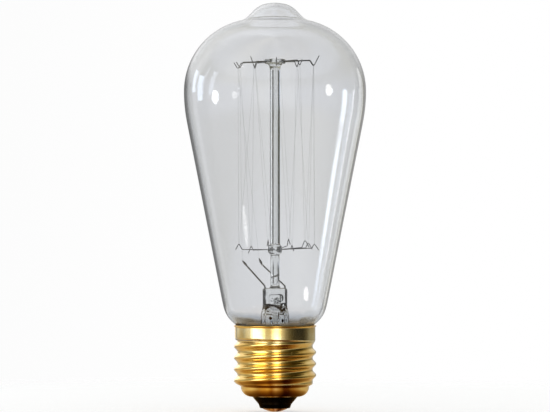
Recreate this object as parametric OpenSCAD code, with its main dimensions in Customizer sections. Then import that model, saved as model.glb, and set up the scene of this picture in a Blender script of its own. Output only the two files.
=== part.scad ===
// Pear-shaped filament lamp with a squirrel-cage filament and a 27 mm Edison screw cap.
// Millimetres. +Z runs up the lamp's axis and the origin is the tip of the centre contact.
// The front of the lamp looks along -Y, and its two lead wires lean towards -X.

/* [Glass envelope] */
// Diameter of the glass at its widest circle
bulb_d = 58; // [56:1:60]
// Thickness of the blown glass
glass_wall = 0.8; // [0.6:0.1:1.0]
// Slope of the long cone, from the axis, in degrees
cone_angle = 11.2; // [10.6:0.2:12.2]
// Radius of the curve from the cone into the widest circle
waist_r = 51; // [42:1:58]
// Radius of the dome above the widest circle
dome_r = 23; // [21:1:25]
// Radius of the curve from the cone down to the cap
shoulder_r = 8.9; // [8.5:0.1:9.3]
// Steepest slope of that curve, from the axis, in degrees
shoulder_angle = 60; // [57:1:62]
// Outer diameter of the neck inside the cap
neck_d = 21.8; // [21.4:0.1:22]
// Radius of the hollow curve between neck and shoulder
neck_fillet_r = 2.5; // [2.3:0.1:2.7]
// Length of the straight neck
neck_length = 6.5; // [5.5:0.5:7.5]
// Depth of the straight neck's top below the cap's rim
neck_tuck = 2.2; // [2:0.1:2.3]
// Diameter of the nipple's foot on the dome
nipple_foot_d = 20; // [18:0.5:22]
// Slope of the nipple's flank, below the horizontal, in degrees
nipple_flank_angle = 46; // [42:1:52]
// Radius of the nipple's crown
nipple_crown_r = 14; // [12:1:18]
// Half angle of the crown, in degrees
nipple_crown_angle = 20; // [16:1:22]
// Radius between crown and flank
nipple_corner_r = 3; // [2:0.5:4]
// Radius of the hollow corner at the nipple's foot
nipple_fillet_r = 0.8; // [0.5:0.1:1.2]

/* [Screw cap] */
// Diameter over the thread's crests
thread_d = 26.2; // [26.05:0.05:26.45]
// Depth of the thread
thread_depth = 1.1; // [0.95:0.05:1.15]
// Rise of the thread in one turn
thread_pitch = 3.62; // [3.52:0.02:3.7]
// Thickness of the brass
shell_wall = 0.3; // [0.2:0.05:0.35]
// Height of the cap's brass shell
shell_h = 22.6; // [22.1:0.1:23]
// Outer diameter of the plain collar above the thread
collar_d = 25.7; // [25.6:0.05:25.9]
// Height of the plain collar
collar_h = 5; // [4.6:0.1:5.4]
// How far the rim turns out past the collar
rim_flare = 0.3; // [0.2:0.05:0.35]
// Height of the turned-out rim
rim_h = 0.8; // [0.6:0.1:1]
// Outer diameter of the bowl under the thread
bowl_d = 21.7; // [21.2:0.1:22]
// Height of the bowl
bowl_h = 3.8; // [3.6:0.1:4]
// Radius of the bowl's corner
bowl_corner_r = 3.1; // [2.6:0.1:3.2]
// Diameter of the hole in the bowl
bowl_hole_d = 13.8; // [13.4:0.1:14.2]

/* [Contact and insulator] */
// Drop of the contact's tip below the insulator
contact_rise = 1.1; // [1:0.05:1.3]
// Diameter of the contact plate
contact_d = 8.4; // [8:0.1:8.8]
// Thickness of the contact plate
contact_wall = 0.4; // [0.3:0.05:0.5]
// Diameter of the solder in the middle of the contact
solder_d = 4.6; // [4:0.2:5]
// Diameter of the worn flat on the solder
solder_flat_d = 2.4; // [2:0.1:3]
// Height of the insulator outside the shell
insulator_h = 3.7; // [3.4:0.1:4]
// Diameter of the insulator where it meets the shell
insulator_top_d = 14.6; // [14.4:0.1:15]
// Diameter of the insulator's waist
insulator_waist_d = 10.4; // [10:0.1:10.8]
// Height of that waist above the insulator's end
insulator_waist_h = 1.25; // [1.1:0.05:1.5]
// Diameter of the insulator's end
insulator_end_d = 9.6; // [9.4:0.1:10]
// Height of the insulator above the bowl's corner, inside the shell
insulator_fill_h = 0.2; // [0.1:0.1:0.4]
// Bore for the centre lead
insulator_bore_d = 2; // [1.6:0.1:2.4]

/* [Glass stem] */
// Outer diameter of the flare tube
flare_d = 9; // [8.8:0.1:9.4]
// Thickness of the flare tube
flare_wall = 0.7; // [0.6:0.05:0.8]
// Height of the flare from its rim to the press
flare_h = 12.6; // [12:0.2:13.2]
// Slope at which the flare's curve meets its rim, in degrees
flare_angle = 75; // [70:1:78]
// Thickness of the flare's rim
flare_rim_h = 0.9; // [0.8:0.1:1.1]
// Width of the press across both leads
press_w = 7.8; // [7.6:0.1:8.4]
// Thickness of the press
press_t = 3.6; // [3.4:0.1:3.8]
// Height of the flat part of the press
press_h = 6.1; // [5.8:0.1:6.6]
// Height of the taper between flare tube and press
press_taper_h = 2.8; // [2.6:0.1:3.2]
// Thickness of the glass over the exhaust tube's end
press_roof = 0.5; // [0.4:0.05:0.7]
// Outer diameter of the exhaust tube
exhaust_d = 3.2; // [2.8:0.1:3.4]
// Thickness of the exhaust tube
exhaust_wall = 0.6; // [0.5:0.05:0.7]
// Length of the exhaust tube down to its sealed tip
exhaust_length = 20; // [18:0.5:20.5]
// Diameter of the hole from the exhaust tube into the envelope
blow_hole_d = 1.4; // [1:0.1:1.6]
// Diameter of the rod between press and lower bead
rod_lower_d = 2.8; // [2.6:0.1:3]
// Diameter of the rod between the bead and the button
rod_upper_d = 3.2; // [3.1:0.1:3.4]
// Depth of the rod in the press
rod_seat = 1.4; // [1:0.1:1.6]
// Height of the lower bead's wires above the press
bead_rise = 12.2; // [11.6:0.2:13]
// Diameter of the lower bead
bead_d = 4.5; // [4.3:0.1:4.8]
// Height of the lower bead
bead_h = 3; // [2.8:0.1:3.4]
// Height of the upper button's wires above the glass's widest circle
button_rise = 9.5; // [8:0.1:10.5]
// Diameter of the upper button
button_d = 6.7; // [6.4:0.1:7.2]
// Height of the upper button above its wires
button_crown_h = 0.8; // [0.7:0.1:1]
// Depth of the upper button below its wires
button_neck_h = 2; // [1.8:0.1:2.4]

/* [Support wires] */
// Diameter of the support wires
support_d = 0.26; // [0.24:0.02:0.34]
// Diameter of the circle on which the filament hangs
cage_d = 25.2; // [24:0.2:26]
// Slope of a hook's two arms, in degrees
hook_angle = 59; // [55:1:63]
// Bend radius of the support wires
hook_bend_r = 0.35; // [0.3:0.05:0.45]
// Depth of the upper hooks' valleys
valley_depth = 1.6; // [1.4:0.1:1.8]
// Height of the lower hooks' peaks
peak_height = 1.9; // [1.6:0.1:2.1]
// Length of the lower hooks' tails
lower_tail = 2.2; // [1.8:0.1:2.6]
// Tilt of the upper wires, up towards +X, in degrees
upper_tilt = 2.4; // [0:0.2:2.6]
// Tilt of the upper wires, up towards the back, in degrees
upper_lean = 3; // [0:0.2:3.4]
// Depth of the upper wires in their button
upper_seat = 1.3; // [1:0.1:1.5]

/* [Filament and leads] */
// Outer diameter of the filament's fine coil
filament_d = 0.14; // [0.1:0.01:0.2]
// Diameter of the nickel lead wires
inner_lead_d = 0.5; // [0.4:0.05:0.6]
// Diameter of the sealed wires in the press
seal_wire_d = 0.4; // [0.35:0.05:0.5]
// Diameter of the copper wires in the cap
outer_lead_d = 0.2; // [0.16:0.02:0.24]
// Distance between the two leads in the press
lead_spacing = 6.4; // [6.2:0.1:6.6]
// Length of the sealed wires
seal_length = 5.2; // [4.6:0.1:5.4]
// Depth of the nickel leads in the press
lead_seat = 0.8; // [0.6:0.1:1]
// Straight rise of the nickel leads above the press
lead_rise = 0.6; // [0.6:0.1:1]
// Reach of the near lead's upper corner towards -X
near_lead_x = 8.9; // [8.4:0.1:9.4]
// Reach of that corner towards the front
near_lead_y = 2.1; // [1.8:0.1:2.5]
// Height of that corner above the press
near_lead_h = 7; // [6.6:0.1:7.4]
// Reach of the far lead's upper corner towards -X
far_lead_x = 4.2; // [3.8:0.1:4.6]
// Reach of that corner towards the back
far_lead_y = 6; // [5.7:0.1:6.4]
// Height of that corner above the press
far_lead_h = 7.4; // [7:0.1:7.8]
// Straight run of lead between that corner and the end of the clamp's sleeve
lead_run = 0.4; // [0.3:0.1:0.6]
// Slope of the near clamp, in degrees
near_clamp_angle = 49; // [46:1:54]
// Slope of the far clamp, in degrees
far_clamp_angle = 59; // [55:1:63]
// Length of the clamp sleeves
clamp_length = 1.8; // [1.6:0.1:2.2]
// Length of the clamps' round barrel, before the nose that is pinched on the filament
clamp_barrel = 1; // [0.9:0.05:1.1]
// Length of lead inside its clamp sleeve
clamp_grip = 0.5; // [0.4:0.1:0.8]
// Thickness of the clamp sleeves
clamp_wall = 0.12; // [0.1:0.02:0.16]
// Diameter of the drop of solder on the rim
rim_solder_d = 1.5; // [1.2:0.1:1.6]

/* [Fits] */
// Gap round a wire in glass, and between round faces that are fused or soldered
fuse_gap = 0.02; // [0.01:0.005:0.03]
// Gap between a wire and what it hangs on or ends against
touch_gap = 0.02; // [0.01:0.005:0.04]
// Gap round the side lead in cement and solder
side_lead_gap = 0.08; // [0.06:0.01:0.1]

/* [Hidden] */
$fn = 48;
// Degrees between the points of a curved outline
arc_step = 6;
// Ten upper hooks; the lower ones lie between them, and the leads stand in the open place
upper_supports = 10;
lower_supports = upper_supports - 1;

// Cap, from the contact's tip up
shell_bottom = contact_rise + insulator_h;
bowl_r = bowl_d / 2;
bowl_top = shell_bottom + bowl_h;
shell_top = shell_bottom + shell_h;
collar_bottom = shell_top - collar_h;
root_r = thread_d / 2 - thread_depth;
collar_r = collar_d / 2;
collar_inner_r = collar_r - shell_wall;
flare_z = shell_top - rim_h;
rim_r = collar_r + rim_flare;
rim_inner_r = rim_r - shell_wall;

// Envelope: centres of its arcs, from the neck up
neck_r = neck_d / 2;
neck_top = shell_top - neck_tuck;
neck_bottom = neck_top - neck_length;
fillet_centre = [neck_r + neck_fillet_r, neck_top];
shoulder_centre = fillet_centre
    + (neck_fillet_r + shoulder_r) * [-cos(shoulder_angle), sin(shoulder_angle)];
widest_r = bulb_d / 2;
cone_foot = shoulder_centre + shoulder_r * [cos(cone_angle), -sin(cone_angle)];
cone_head_r = widest_r - waist_r * (1 - cos(cone_angle));
widest_z = cone_foot[1] + (cone_head_r - cone_foot[0]) / tan(cone_angle) + waist_r * sin(cone_angle);
waist_centre = [widest_r - waist_r, widest_z];
dome_centre = [widest_r - dome_r, widest_z];
dome_angle = acos((nipple_foot_d / 2 - dome_centre[0]) / dome_r);
foot_centre = dome_centre + (dome_r + nipple_fillet_r) * [cos(dome_angle), sin(dome_angle)];
flank_normal = [sin(nipple_flank_angle), cos(nipple_flank_angle)];
flank_foot = foot_centre - nipple_fillet_r * flank_normal;
crown_arm = (nipple_crown_r - nipple_corner_r) * [sin(nipple_crown_angle), cos(nipple_crown_angle)];
flank_head_r = crown_arm[0] + nipple_corner_r * flank_normal[0];
flank_head_z = flank_foot[1] + (flank_foot[0] - flank_head_r) * tan(nipple_flank_angle);
crown_centre_z = flank_head_z - crown_arm[1] - nipple_corner_r * flank_normal[1];
corner_centre = [0, crown_centre_z] + crown_arm;

// Stem, from the flare's rim up
flare_rim_bottom = neck_bottom - flare_rim_h;
flare_r = flare_d / 2;
flare_curve_r = (neck_r - glass_wall - flare_r) / (1 - cos(flare_angle));
flare_centre = [flare_r + flare_curve_r, neck_bottom + flare_curve_r * sin(flare_angle)];
flare_top = flare_rim_bottom + flare_h;
press_bottom = flare_top + press_taper_h;
press_top = press_bottom + press_h;
exhaust_r = exhaust_d / 2;
pocket_top = press_bottom - press_roof;
exhaust_tip = pocket_top - exhaust_length;
bead_z = press_top + bead_rise;
button_z = widest_z + button_rise;
rod_top = button_z - support_d / 2 - touch_gap;

// Support wires, as bent and set by hand: a few degrees off their even places
support_step = 360 / upper_supports;
upper_error = [-4, 2, -7, -5, -1, 10, 5, 2, 2, 4];
lower_error = [-5, -8, -14, 13, 18, 8, 2, -5, -4];
upper_tail_length = [3.5, 1.8, 1.5, 1.6, 2, 1.8, 3.5, 2.7, 1.8, 1.6];
// The lower hooks were bent by eye too: error of each peak's height and tail, and slope of each wire
peak_error = [-0.5, -0.8, -0.3, -0.3, -0.7, 0.2, 0, 0.1, -0.8];
tail_error = [-0.1, -0.3, -0.2, -0.5, 0.1, -0.3, -0.3, 0.1, -0.3];
lower_slope = [3, 1, 1, 0, -1, 4, 7, 4, 2.5];
function upper_azimuth(i) = support_step * (i - 0.5) + upper_error[i - 1];
function lower_azimuth(i) = support_step * (i < upper_supports / 2 ? i : i + 1) + lower_error[i - 1];
function upper_pitch(i) = upper_tilt * cos(upper_azimuth(i)) + upper_lean * sin(upper_azimuth(i));
function lower_pitch(i) = lower_slope[i - 1];
upper_root = button_d / 2 - upper_seat;
lower_root = rod_upper_d / 2 + fuse_gap + touch_gap;
// Leads in the press, and the corner where each one turns towards its filament clamp
lead_x = lead_spacing / 2;
seal_top = press_top - lead_seat;
seal_bottom = seal_top - seal_length;
lead_bend_r = 1;
clamp_near = [-near_lead_x, -near_lead_y, press_top + near_lead_h];
clamp_far = [-far_lead_x, far_lead_y, press_top + far_lead_h];
near_aim = clamp_aim(-1, clamp_near, near_clamp_angle);
far_aim = clamp_aim(1, clamp_far, far_clamp_angle);

function unit(v) = v / norm(v);
function reverse(list) = [for (i = [len(list) - 1:-1:0]) list[i]];
function join(lists) = [for (list = lists) each list];
function clamped(t) = max(0, min(1, t));

// Points of an arc, both ends included
function arc(centre, r, from, to) =
    let (n = max(1, ceil(abs(to - from) / arc_step)))
    [for (i = [0:n]) let (a = from + (to - from) * i / n) centre + r * [cos(a), sin(a)]];

// One side of the envelope, from the neck's end to the crown, moved inwards by inset
function glass_side(inset) = concat(
    [[neck_r - inset, neck_bottom]],
    arc(fillet_centre, neck_fillet_r + inset, 180, 180 - shoulder_angle),
    arc(shoulder_centre, shoulder_r - inset, arc_step - shoulder_angle, -cone_angle),
    arc(waist_centre, waist_r - inset, -cone_angle, 0),
    arc(dome_centre, dome_r - inset, arc_step, dome_angle),
    arc(foot_centre, nipple_fillet_r + inset, dome_angle + 180, 270 - nipple_flank_angle),
    arc(corner_centre, nipple_corner_r - inset, 90 - nipple_flank_angle, 90 - nipple_crown_angle),
    arc([0, crown_centre_z], nipple_crown_r - inset, 90 - nipple_crown_angle + arc_step, 90));

module glass_envelope() {
    color([0.85, 0.88, 0.9, 0.4])
        rotate_extrude() polygon(concat(glass_side(0), reverse(glass_side(glass_wall))));
}

// Two triangles between each pair of neighbours in a grid of closed rings
function grid_faces(rings, sides, first, outward) =
    [for (ring = [0:rings - 2], side = [0:sides - 1])
        let (next = (side + 1) % sides,
             a = first + ring * sides + side, b = first + ring * sides + next,
             c = a + sides, d = b + sides)
        each outward ? [[a, c, b], [b, c, d]] : [[a, b, c], [b, d, c]]];

// Rolled thread: the wall follows a right-handed knuckle helix, which runs out in the plain
// wall at its lower end and in the collar at its upper end
thread_slices = 6;
thread_sides = 48;
crest_sharpness = 1.3;
// Height of the last crest, at +X, under the collar
crest_drop = 3.55;
run_out_h = 0.8;
run_in_h = 1.8;
// Flat rings of the plain walls hold the thread's two ends
web_h = 0.35;
web_lap = 0.3;
web_inner_r = root_r - shell_wall - web_lap;
thread_bottom = bowl_top - web_h / 2;
thread_top = collar_bottom + web_h / 2;
thread_rings = ceil((thread_top - thread_bottom) / thread_pitch * thread_slices) + 1;
collar_share = (collar_r - web_lap / 2 - root_r) / thread_depth;
function crest_share(crest_z) =
    clamped((crest_z - bowl_top - web_h) / run_out_h)
    * (1 - (1 - collar_share) * clamped((crest_z - collar_bottom + run_in_h) / run_in_h));
function thread_r(azimuth, z) =
    let (base = collar_bottom - crest_drop + thread_pitch * azimuth / 360,
         crest_z = base + thread_pitch * round((z - base) / thread_pitch),
         wave = (1 + cos(360 * (z - crest_z) / thread_pitch)) / 2)
    root_r + thread_depth * pow(wave, crest_sharpness) * crest_share(crest_z);
function thread_wall(inset) =
    [for (ring = [0:thread_rings - 1], side = [0:thread_sides - 1])
        let (z = thread_bottom + (thread_top - thread_bottom) * ring / (thread_rings - 1),
             azimuth = 360 * side / thread_sides,
             r = thread_r(azimuth, z) - inset)
        [r * cos(azimuth), r * sin(azimuth), z]];
function end_faces(sides, outer, inner, up) =
    [for (side = [0:sides - 1])
        let (next = (side + 1) % sides, a = outer + side, b = outer + next,
             c = inner + side, d = inner + next)
        each up ? [[a, c, b], [b, c, d]] : [[a, b, c], [b, d, c]]];
module rolled_thread() {
    inner = thread_rings * thread_sides;
    last = inner - thread_sides;
    polyhedron(
        points = concat(thread_wall(0), thread_wall(shell_wall)),
        faces = concat(
            grid_faces(thread_rings, thread_sides, 0, true),
            grid_faces(thread_rings, thread_sides, inner, false),
            end_faces(thread_sides, 0, inner, false),
            end_faces(thread_sides, last, inner + last, true)),
        convexity = 10);
}
module collar() {
    rotate_extrude() polygon([
        [web_inner_r, collar_bottom], [collar_r, collar_bottom], [collar_r, flare_z],
        [rim_r, flare_z + rim_flare], [rim_r, shell_top], [rim_inner_r, shell_top],
        [rim_inner_r, flare_z + rim_flare], [collar_inner_r, flare_z],
        [collar_inner_r, collar_bottom + web_h], [web_inner_r, collar_bottom + web_h]]);
}
bowl_corner_z = shell_bottom + bowl_corner_r;
function bowl_corner(inset) =
    arc([bowl_r - bowl_corner_r, bowl_corner_z], bowl_corner_r - inset, -90, 0);
module bowl() {
    rotate_extrude() polygon(concat(
        [[bowl_hole_d / 2, shell_bottom + shell_wall], [bowl_hole_d / 2, shell_bottom]],
        bowl_corner(0),
        [[root_r + web_lap, bowl_top - web_h], [root_r + web_lap, bowl_top],
         [web_inner_r, bowl_top], [bowl_r - shell_wall, bowl_corner_z + shell_wall]],
        reverse(bowl_corner(shell_wall))));
}
module screw_shell() {
    color("goldenrod") {
        rolled_thread();
        collar();
        bowl();
    }
}

// Contact: plate and solder share one shallow dome, which ends in the solder's flat
contact_r = contact_d / 2;
solder_r = solder_d / 2;
solder_flat_r = solder_flat_d / 2;
dome_z = (contact_r * contact_r + contact_rise * contact_rise - solder_flat_r * solder_flat_r)
    / (2 * contact_rise);
contact_dome_r = norm([solder_flat_r, dome_z]);
function contact_arc(inset, from_r, to_r) =
    let (r = contact_dome_r - inset) arc([0, dome_z], r, asin(from_r / r) - 90, asin(to_r / r) - 90);
solder_top = dome_z - contact_dome_r + contact_wall;
centre_lead_end = solder_top / 2;
insulator_top = bowl_corner_z + insulator_fill_h;
module base_insulator() {
    hole_r = bowl_hole_d / 2 - fuse_gap;
    bore_r = insulator_bore_d / 2;
    color([0.05, 0.05, 0.06])
        rotate_extrude() polygon(concat(
            contact_arc(contact_wall + fuse_gap, bore_r, contact_r + fuse_gap),
            [[contact_r + fuse_gap, contact_rise], [insulator_end_d / 2, contact_rise],
             [insulator_waist_d / 2, contact_rise + insulator_waist_h],
             [insulator_top_d / 2, shell_bottom], [hole_r, shell_bottom]],
            bowl_corner(shell_wall + fuse_gap),
            [[bowl_r - shell_wall - fuse_gap, insulator_top], [bore_r, insulator_top]]));
}
module contact_plate() {
    hole_r = solder_r + fuse_gap;
    color([0.72, 0.5, 0.3])
        rotate_extrude() polygon(concat(
            contact_arc(0, hole_r, contact_r),
            reverse(contact_arc(contact_wall, hole_r, contact_r))));
}
module contact_solder() {
    color([0.75, 0.76, 0.78])
        difference() {
            rotate_extrude() polygon(concat(
                [[0, 0]], contact_arc(0, solder_flat_r, solder_r),
                reverse(contact_arc(contact_wall, 0, solder_r))));
            translate([0, 0, centre_lead_end - touch_gap])
                cylinder(h = contact_rise, d = outer_lead_d + 2 * fuse_gap);
        }
}

// Stem
module stem_flare() {
    inner_curve_r = flare_curve_r + flare_wall;
    color([0.8, 0.85, 0.88, 0.5])
        rotate_extrude() polygon(concat(
            [[neck_r, flare_rim_bottom], [neck_r, neck_bottom]],
            arc(flare_centre, flare_curve_r, 180 + flare_angle, 180),
            [[flare_r, flare_top], [flare_r - flare_wall, flare_top]],
            arc(flare_centre, inner_curve_r, 180, 180 + flare_angle),
            [[flare_centre[0] - inner_curve_r * cos(flare_angle), flare_rim_bottom]]));
}
module lead_bores(d, from, to) {
    for (side = [-1, 1])
        translate([side * lead_x, 0, from]) cylinder(h = to - from, d = d + 2 * fuse_gap);
}
module stem_press() {
    edge_flat = 0.6;
    corner_r = (press_t - edge_flat) / 2;
    foot_h = 0.01;
    blow_hole_z = pocket_top + blow_hole_d;
    end_lap = 0.2;
    cavity_h = 1.6 * blow_hole_d;
    color([0.8, 0.85, 0.88, 0.5])
        difference() {
            hull() {
                translate([0, 0, flare_top]) cylinder(h = foot_h, r = flare_r, $fn = 32);
                for (x = [-1, 1], y = [-1, 1])
                    translate([x * (press_w / 2 - corner_r), y * (press_t / 2 - corner_r), press_bottom])
                        cylinder(h = press_h, r = corner_r, $fn = 32);
            }
            translate([0, 0, flare_top - touch_gap])
                cylinder(h = pocket_top - flare_top + touch_gap, r1 = flare_r - flare_wall, r2 = exhaust_r);
            translate([0, 0, pocket_top - end_lap])
                cylinder(h = end_lap + cavity_h, r = exhaust_r - exhaust_wall);
            translate([0, 0, blow_hole_z]) rotate([90, 0, 0]) cylinder(h = flare_d, d = blow_hole_d);
            lead_bores(outer_lead_d, flare_top - touch_gap, seal_bottom);
            lead_bores(seal_wire_d, seal_bottom, seal_top);
            lead_bores(inner_lead_d, seal_top, press_top + 1);
            translate([0, 0, press_top - rod_seat])
                cylinder(h = rod_seat + 1, d = rod_lower_d + 2 * fuse_gap);
        }
}
module exhaust_tube() {
    bore_r = exhaust_r - exhaust_wall;
    color([0.8, 0.85, 0.88, 0.5])
        rotate_extrude() polygon(concat(
            arc([0, exhaust_tip + exhaust_r], exhaust_r, -90, 0),
            [[exhaust_r, pocket_top], [bore_r, pocket_top]],
            arc([0, exhaust_tip + 2 * exhaust_r], bore_r, 0, -90)));
}
module centre_rod() {
    color([0.8, 0.85, 0.88, 0.5]) {
        translate([0, 0, press_top - rod_seat])
            cylinder(h = bead_z - press_top + rod_seat, d = rod_lower_d);
        translate([0, 0, bead_z]) cylinder(h = rod_top - bead_z, d = rod_upper_d);
    }
}
// Frames at the root of each support, with +Z along the wire
module upper_place(i) {
    rotate([0, 0, upper_azimuth(i)]) translate([upper_root, 0, button_z])
        rotate([0, 90 - upper_pitch(i), 0]) children();
}
module lower_place(i) {
    rotate([0, 0, lower_azimuth(i)]) translate([lower_root, 0, bead_z])
        rotate([0, 90 - lower_pitch(i), 0]) children();
}
// A glass bead melted round the rod, with a round belt where the wires enter
module lower_bead() {
    end_wall = 0.25;
    end_r = rod_upper_d / 2 + end_wall;
    belt_h = bead_h / 3;
    color([0.8, 0.85, 0.88, 0.5])
        difference() {
            rotate_extrude() polygon([
                [0, bead_z - bead_h / 2], [end_r, bead_z - bead_h / 2],
                [bead_d / 2, bead_z - belt_h / 2], [bead_d / 2, bead_z + belt_h / 2],
                [end_r, bead_z + bead_h / 2], [0, bead_z + bead_h / 2]]);
            translate([0, 0, bead_z - bead_h]) cylinder(h = bead_h, d = rod_lower_d + 2 * fuse_gap);
            translate([0, 0, bead_z]) cylinder(h = bead_h, d = rod_upper_d + 2 * fuse_gap);
            for (i = [1:lower_supports])
                lower_place(i) cylinder(h = bead_d, d = support_d + 2 * fuse_gap);
        }
}
// A flat glass button with a short neck that grips the rod's end
module upper_button() {
    rod_r = rod_upper_d / 2;
    rim_wall = 0.2;
    neck_wall = 0.5;
    edge_r = 0.3;
    button_r = button_d / 2;
    belt_h = button_crown_h - edge_r;
    socket_bottom = button_z - button_neck_h;
    color([0.8, 0.85, 0.88, 0.5])
        difference() {
            rotate_extrude() polygon(concat(
                [[0, socket_bottom], [rod_r + rim_wall, socket_bottom],
                 [rod_r + neck_wall, button_z - button_neck_h / 2]],
                arc([button_r - edge_r, button_z - belt_h], edge_r, -75, 0),
                arc([button_r - edge_r, button_z + belt_h], edge_r, 0, 90),
                [[0, button_z + button_crown_h]]));
            translate([0, 0, socket_bottom - 1])
                cylinder(h = rod_top + touch_gap - socket_bottom + 1, d = rod_upper_d + 2 * fuse_gap);
            for (i = [1:upper_supports])
                upper_place(i) cylinder(h = button_d, d = support_d + 2 * fuse_gap);
        }
}

// Tube along a path, one ring of sides at each point; no part of the path runs along its ref
function tube_ring(path, i, ref, r, sides) =
    let (last = len(path) - 1,
         t = unit(path[min(i + 1, last)] - path[max(i - 1, 0)]),
         u = unit(cross(t, ref)), v = cross(t, u))
    [for (k = [0:sides - 1]) let (a = 360 * k / sides) path[i] + r * (cos(a) * u + sin(a) * v)];
module tube(path, refs, d, sides = 8) {
    rings = len(path);
    last = (rings - 1) * sides;
    polyhedron(
        points = join([for (i = [0:rings - 1]) tube_ring(path, i, refs[i], d / 2, sides)]),
        faces = concat(
            grid_faces(rings, sides, 0, true),
            [for (k = [1:sides - 2]) [0, k, k + 1]],
            [for (k = [1:sides - 2]) [last, last + k + 1, last + k]]),
        convexity = 10);
}
// A path with its corners bent to a radius, in steps of at most 30 degrees
function bent(path, r) = concat(
    [path[0]],
    join([for (i = [1:len(path) - 2])
        let (back = unit(path[i - 1] - path[i]), on = unit(path[i + 1] - path[i]),
             half = acos(back * on) / 2, inwards = unit(back + on), across = unit(on - back),
             centre = path[i] + inwards * r / sin(half),
             steps = ceil((180 - 2 * half) / 30))
        [for (k = [0:steps]) let (a = (90 - half) * (2 * k / steps - 1))
            centre + r * (sin(a) * across - cos(a) * inwards)]]),
    [path[len(path) - 1]]);
module wire(path, d, bend_r, ref) {
    curve = bent(path, bend_r);
    tube(curve, [for (p = curve) ref], d);
}
// Turns +Z onto a direction
module aim(direction) {
    rotate([0, acos(unit(direction)[2]), atan2(direction[1], direction[0])]) children();
}

// Points of the cage, by the run along a support from its root and the drop below it
function outward(azimuth) = [cos(azimuth), sin(azimuth), 0];
function onward(azimuth) = [-sin(azimuth), cos(azimuth), 0];
function support_point(azimuth, pitch, root, root_z, run, drop) =
    outward(azimuth) * (root + run * cos(pitch) + drop * sin(pitch))
    + [0, 0, root_z + run * sin(pitch) - drop * cos(pitch)];
function upper_point(i, run, drop) =
    support_point(upper_azimuth(i), upper_pitch(i), upper_root, button_z, run, drop);
function lower_point(i, run, drop) =
    support_point(lower_azimuth(i), lower_pitch(i), lower_root, bead_z, run, drop);
// A hook's run and drop at its corners: its turn lies on the cage circle, at the given depth
function hook(root, depth, tail) =
    let (turn = cage_d / 2 - root,
         tip = depth + hook_bend_r * (1 / cos(hook_angle) - 1),
         end = tail + hook_bend_r * tan(hook_angle))
    [[0, 0], [turn - tip / tan(hook_angle), 0], [turn, tip],
     [turn + end * cos(hook_angle), tip - end * sin(hook_angle)]];
function lower_peak_height(i) = peak_height + peak_error[i - 1];
module upper_support(i) {
    color([0.45, 0.45, 0.47])
        wire([for (p = hook(upper_root, valley_depth, upper_tail_length[i - 1])) upper_point(i, p[0], p[1])],
             support_d, hook_bend_r, onward(upper_azimuth(i)));
}
module lower_support(i) {
    color([0.45, 0.45, 0.47])
        wire([for (p = hook(lower_root, lower_peak_height(i), lower_tail + tail_error[i - 1]))
                  lower_point(i, p[0], -p[1])],
             support_d, hook_bend_r, onward(lower_azimuth(i)));
}

// Filament: over the valleys of the upper hooks and under the peaks of the lower ones
filament_turn_r = (support_d + filament_d) / 2 + touch_gap;
filament_sides = 6;
turn_steps = 6;
function upper_valley(i) = upper_point(i, cage_d / 2 - upper_root, valley_depth);
function lower_peak(i) = lower_point(i, cage_d / 2 - lower_root, -lower_peak_height(i));
function half_turn(centre, azimuth, up) =
    [for (k = [0:turn_steps]) let (a = 180 * k / turn_steps)
        centre + filament_turn_r * (-cos(a) * onward(azimuth) + [0, 0, up * sin(a)])];
// The hooks in the filament's order: front left first, then right round to the back left
function upper_at(n) = (upper_supports / 2 + n) % upper_supports + 1;
function lower_at(n) = (upper_supports / 2 - 1 + n) % lower_supports + 1;
function upper_turn(n) = half_turn(upper_valley(upper_at(n)), upper_azimuth(upper_at(n)), 1);
function lower_turn(n) = half_turn(lower_peak(lower_at(n)), lower_azimuth(lower_at(n)), -1);
last_upper = upper_supports - 1;
filament_start = lead_run + clamp_grip + touch_gap;
filament_bend = lead_run + clamp_length + filament_d;
filament_path = concat(
    [clamp_near + filament_start * near_aim, clamp_near + filament_bend * near_aim],
    join([for (n = [0:last_upper]) concat(upper_turn(n), n < last_upper ? lower_turn(n) : [])]),
    [clamp_far + filament_bend * far_aim, clamp_far + filament_start * far_aim]);
filament_refs = concat(
    [for (end = [0, 1]) outward(upper_azimuth(upper_at(0)))],
    join([for (n = [0:last_upper]) concat(
        [for (p = upper_turn(n)) outward(upper_azimuth(upper_at(n)))],
        n < last_upper ? [for (p = lower_turn(n)) outward(lower_azimuth(lower_at(n)))] : [])]),
    [for (end = [0, 1]) outward(upper_azimuth(upper_at(last_upper)))]);
module filament() {
    color([0.25, 0.25, 0.27])
        tube(filament_path, filament_refs, filament_d, filament_sides);
}

// Direction of a clamp: onward from the lead, at its own slope
function clamp_aim(side, clamp, slope) =
    unit([clamp[0] - side * lead_x, clamp[1], 0]) * cos(slope) + [0, 0, sin(slope)];
// Nickel leads: up out of the press, across, and a little steeper into the clamp
module inner_lead(side, clamp, aim_at) {
    path = [[side * lead_x, 0, seal_top], [side * lead_x, 0, press_top + lead_rise],
            clamp, clamp + (lead_run + clamp_grip) * aim_at];
    color([0.6, 0.58, 0.55])
        wire(path, inner_lead_d, lead_bend_r, [0.3, 1, 0]);
}
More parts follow.
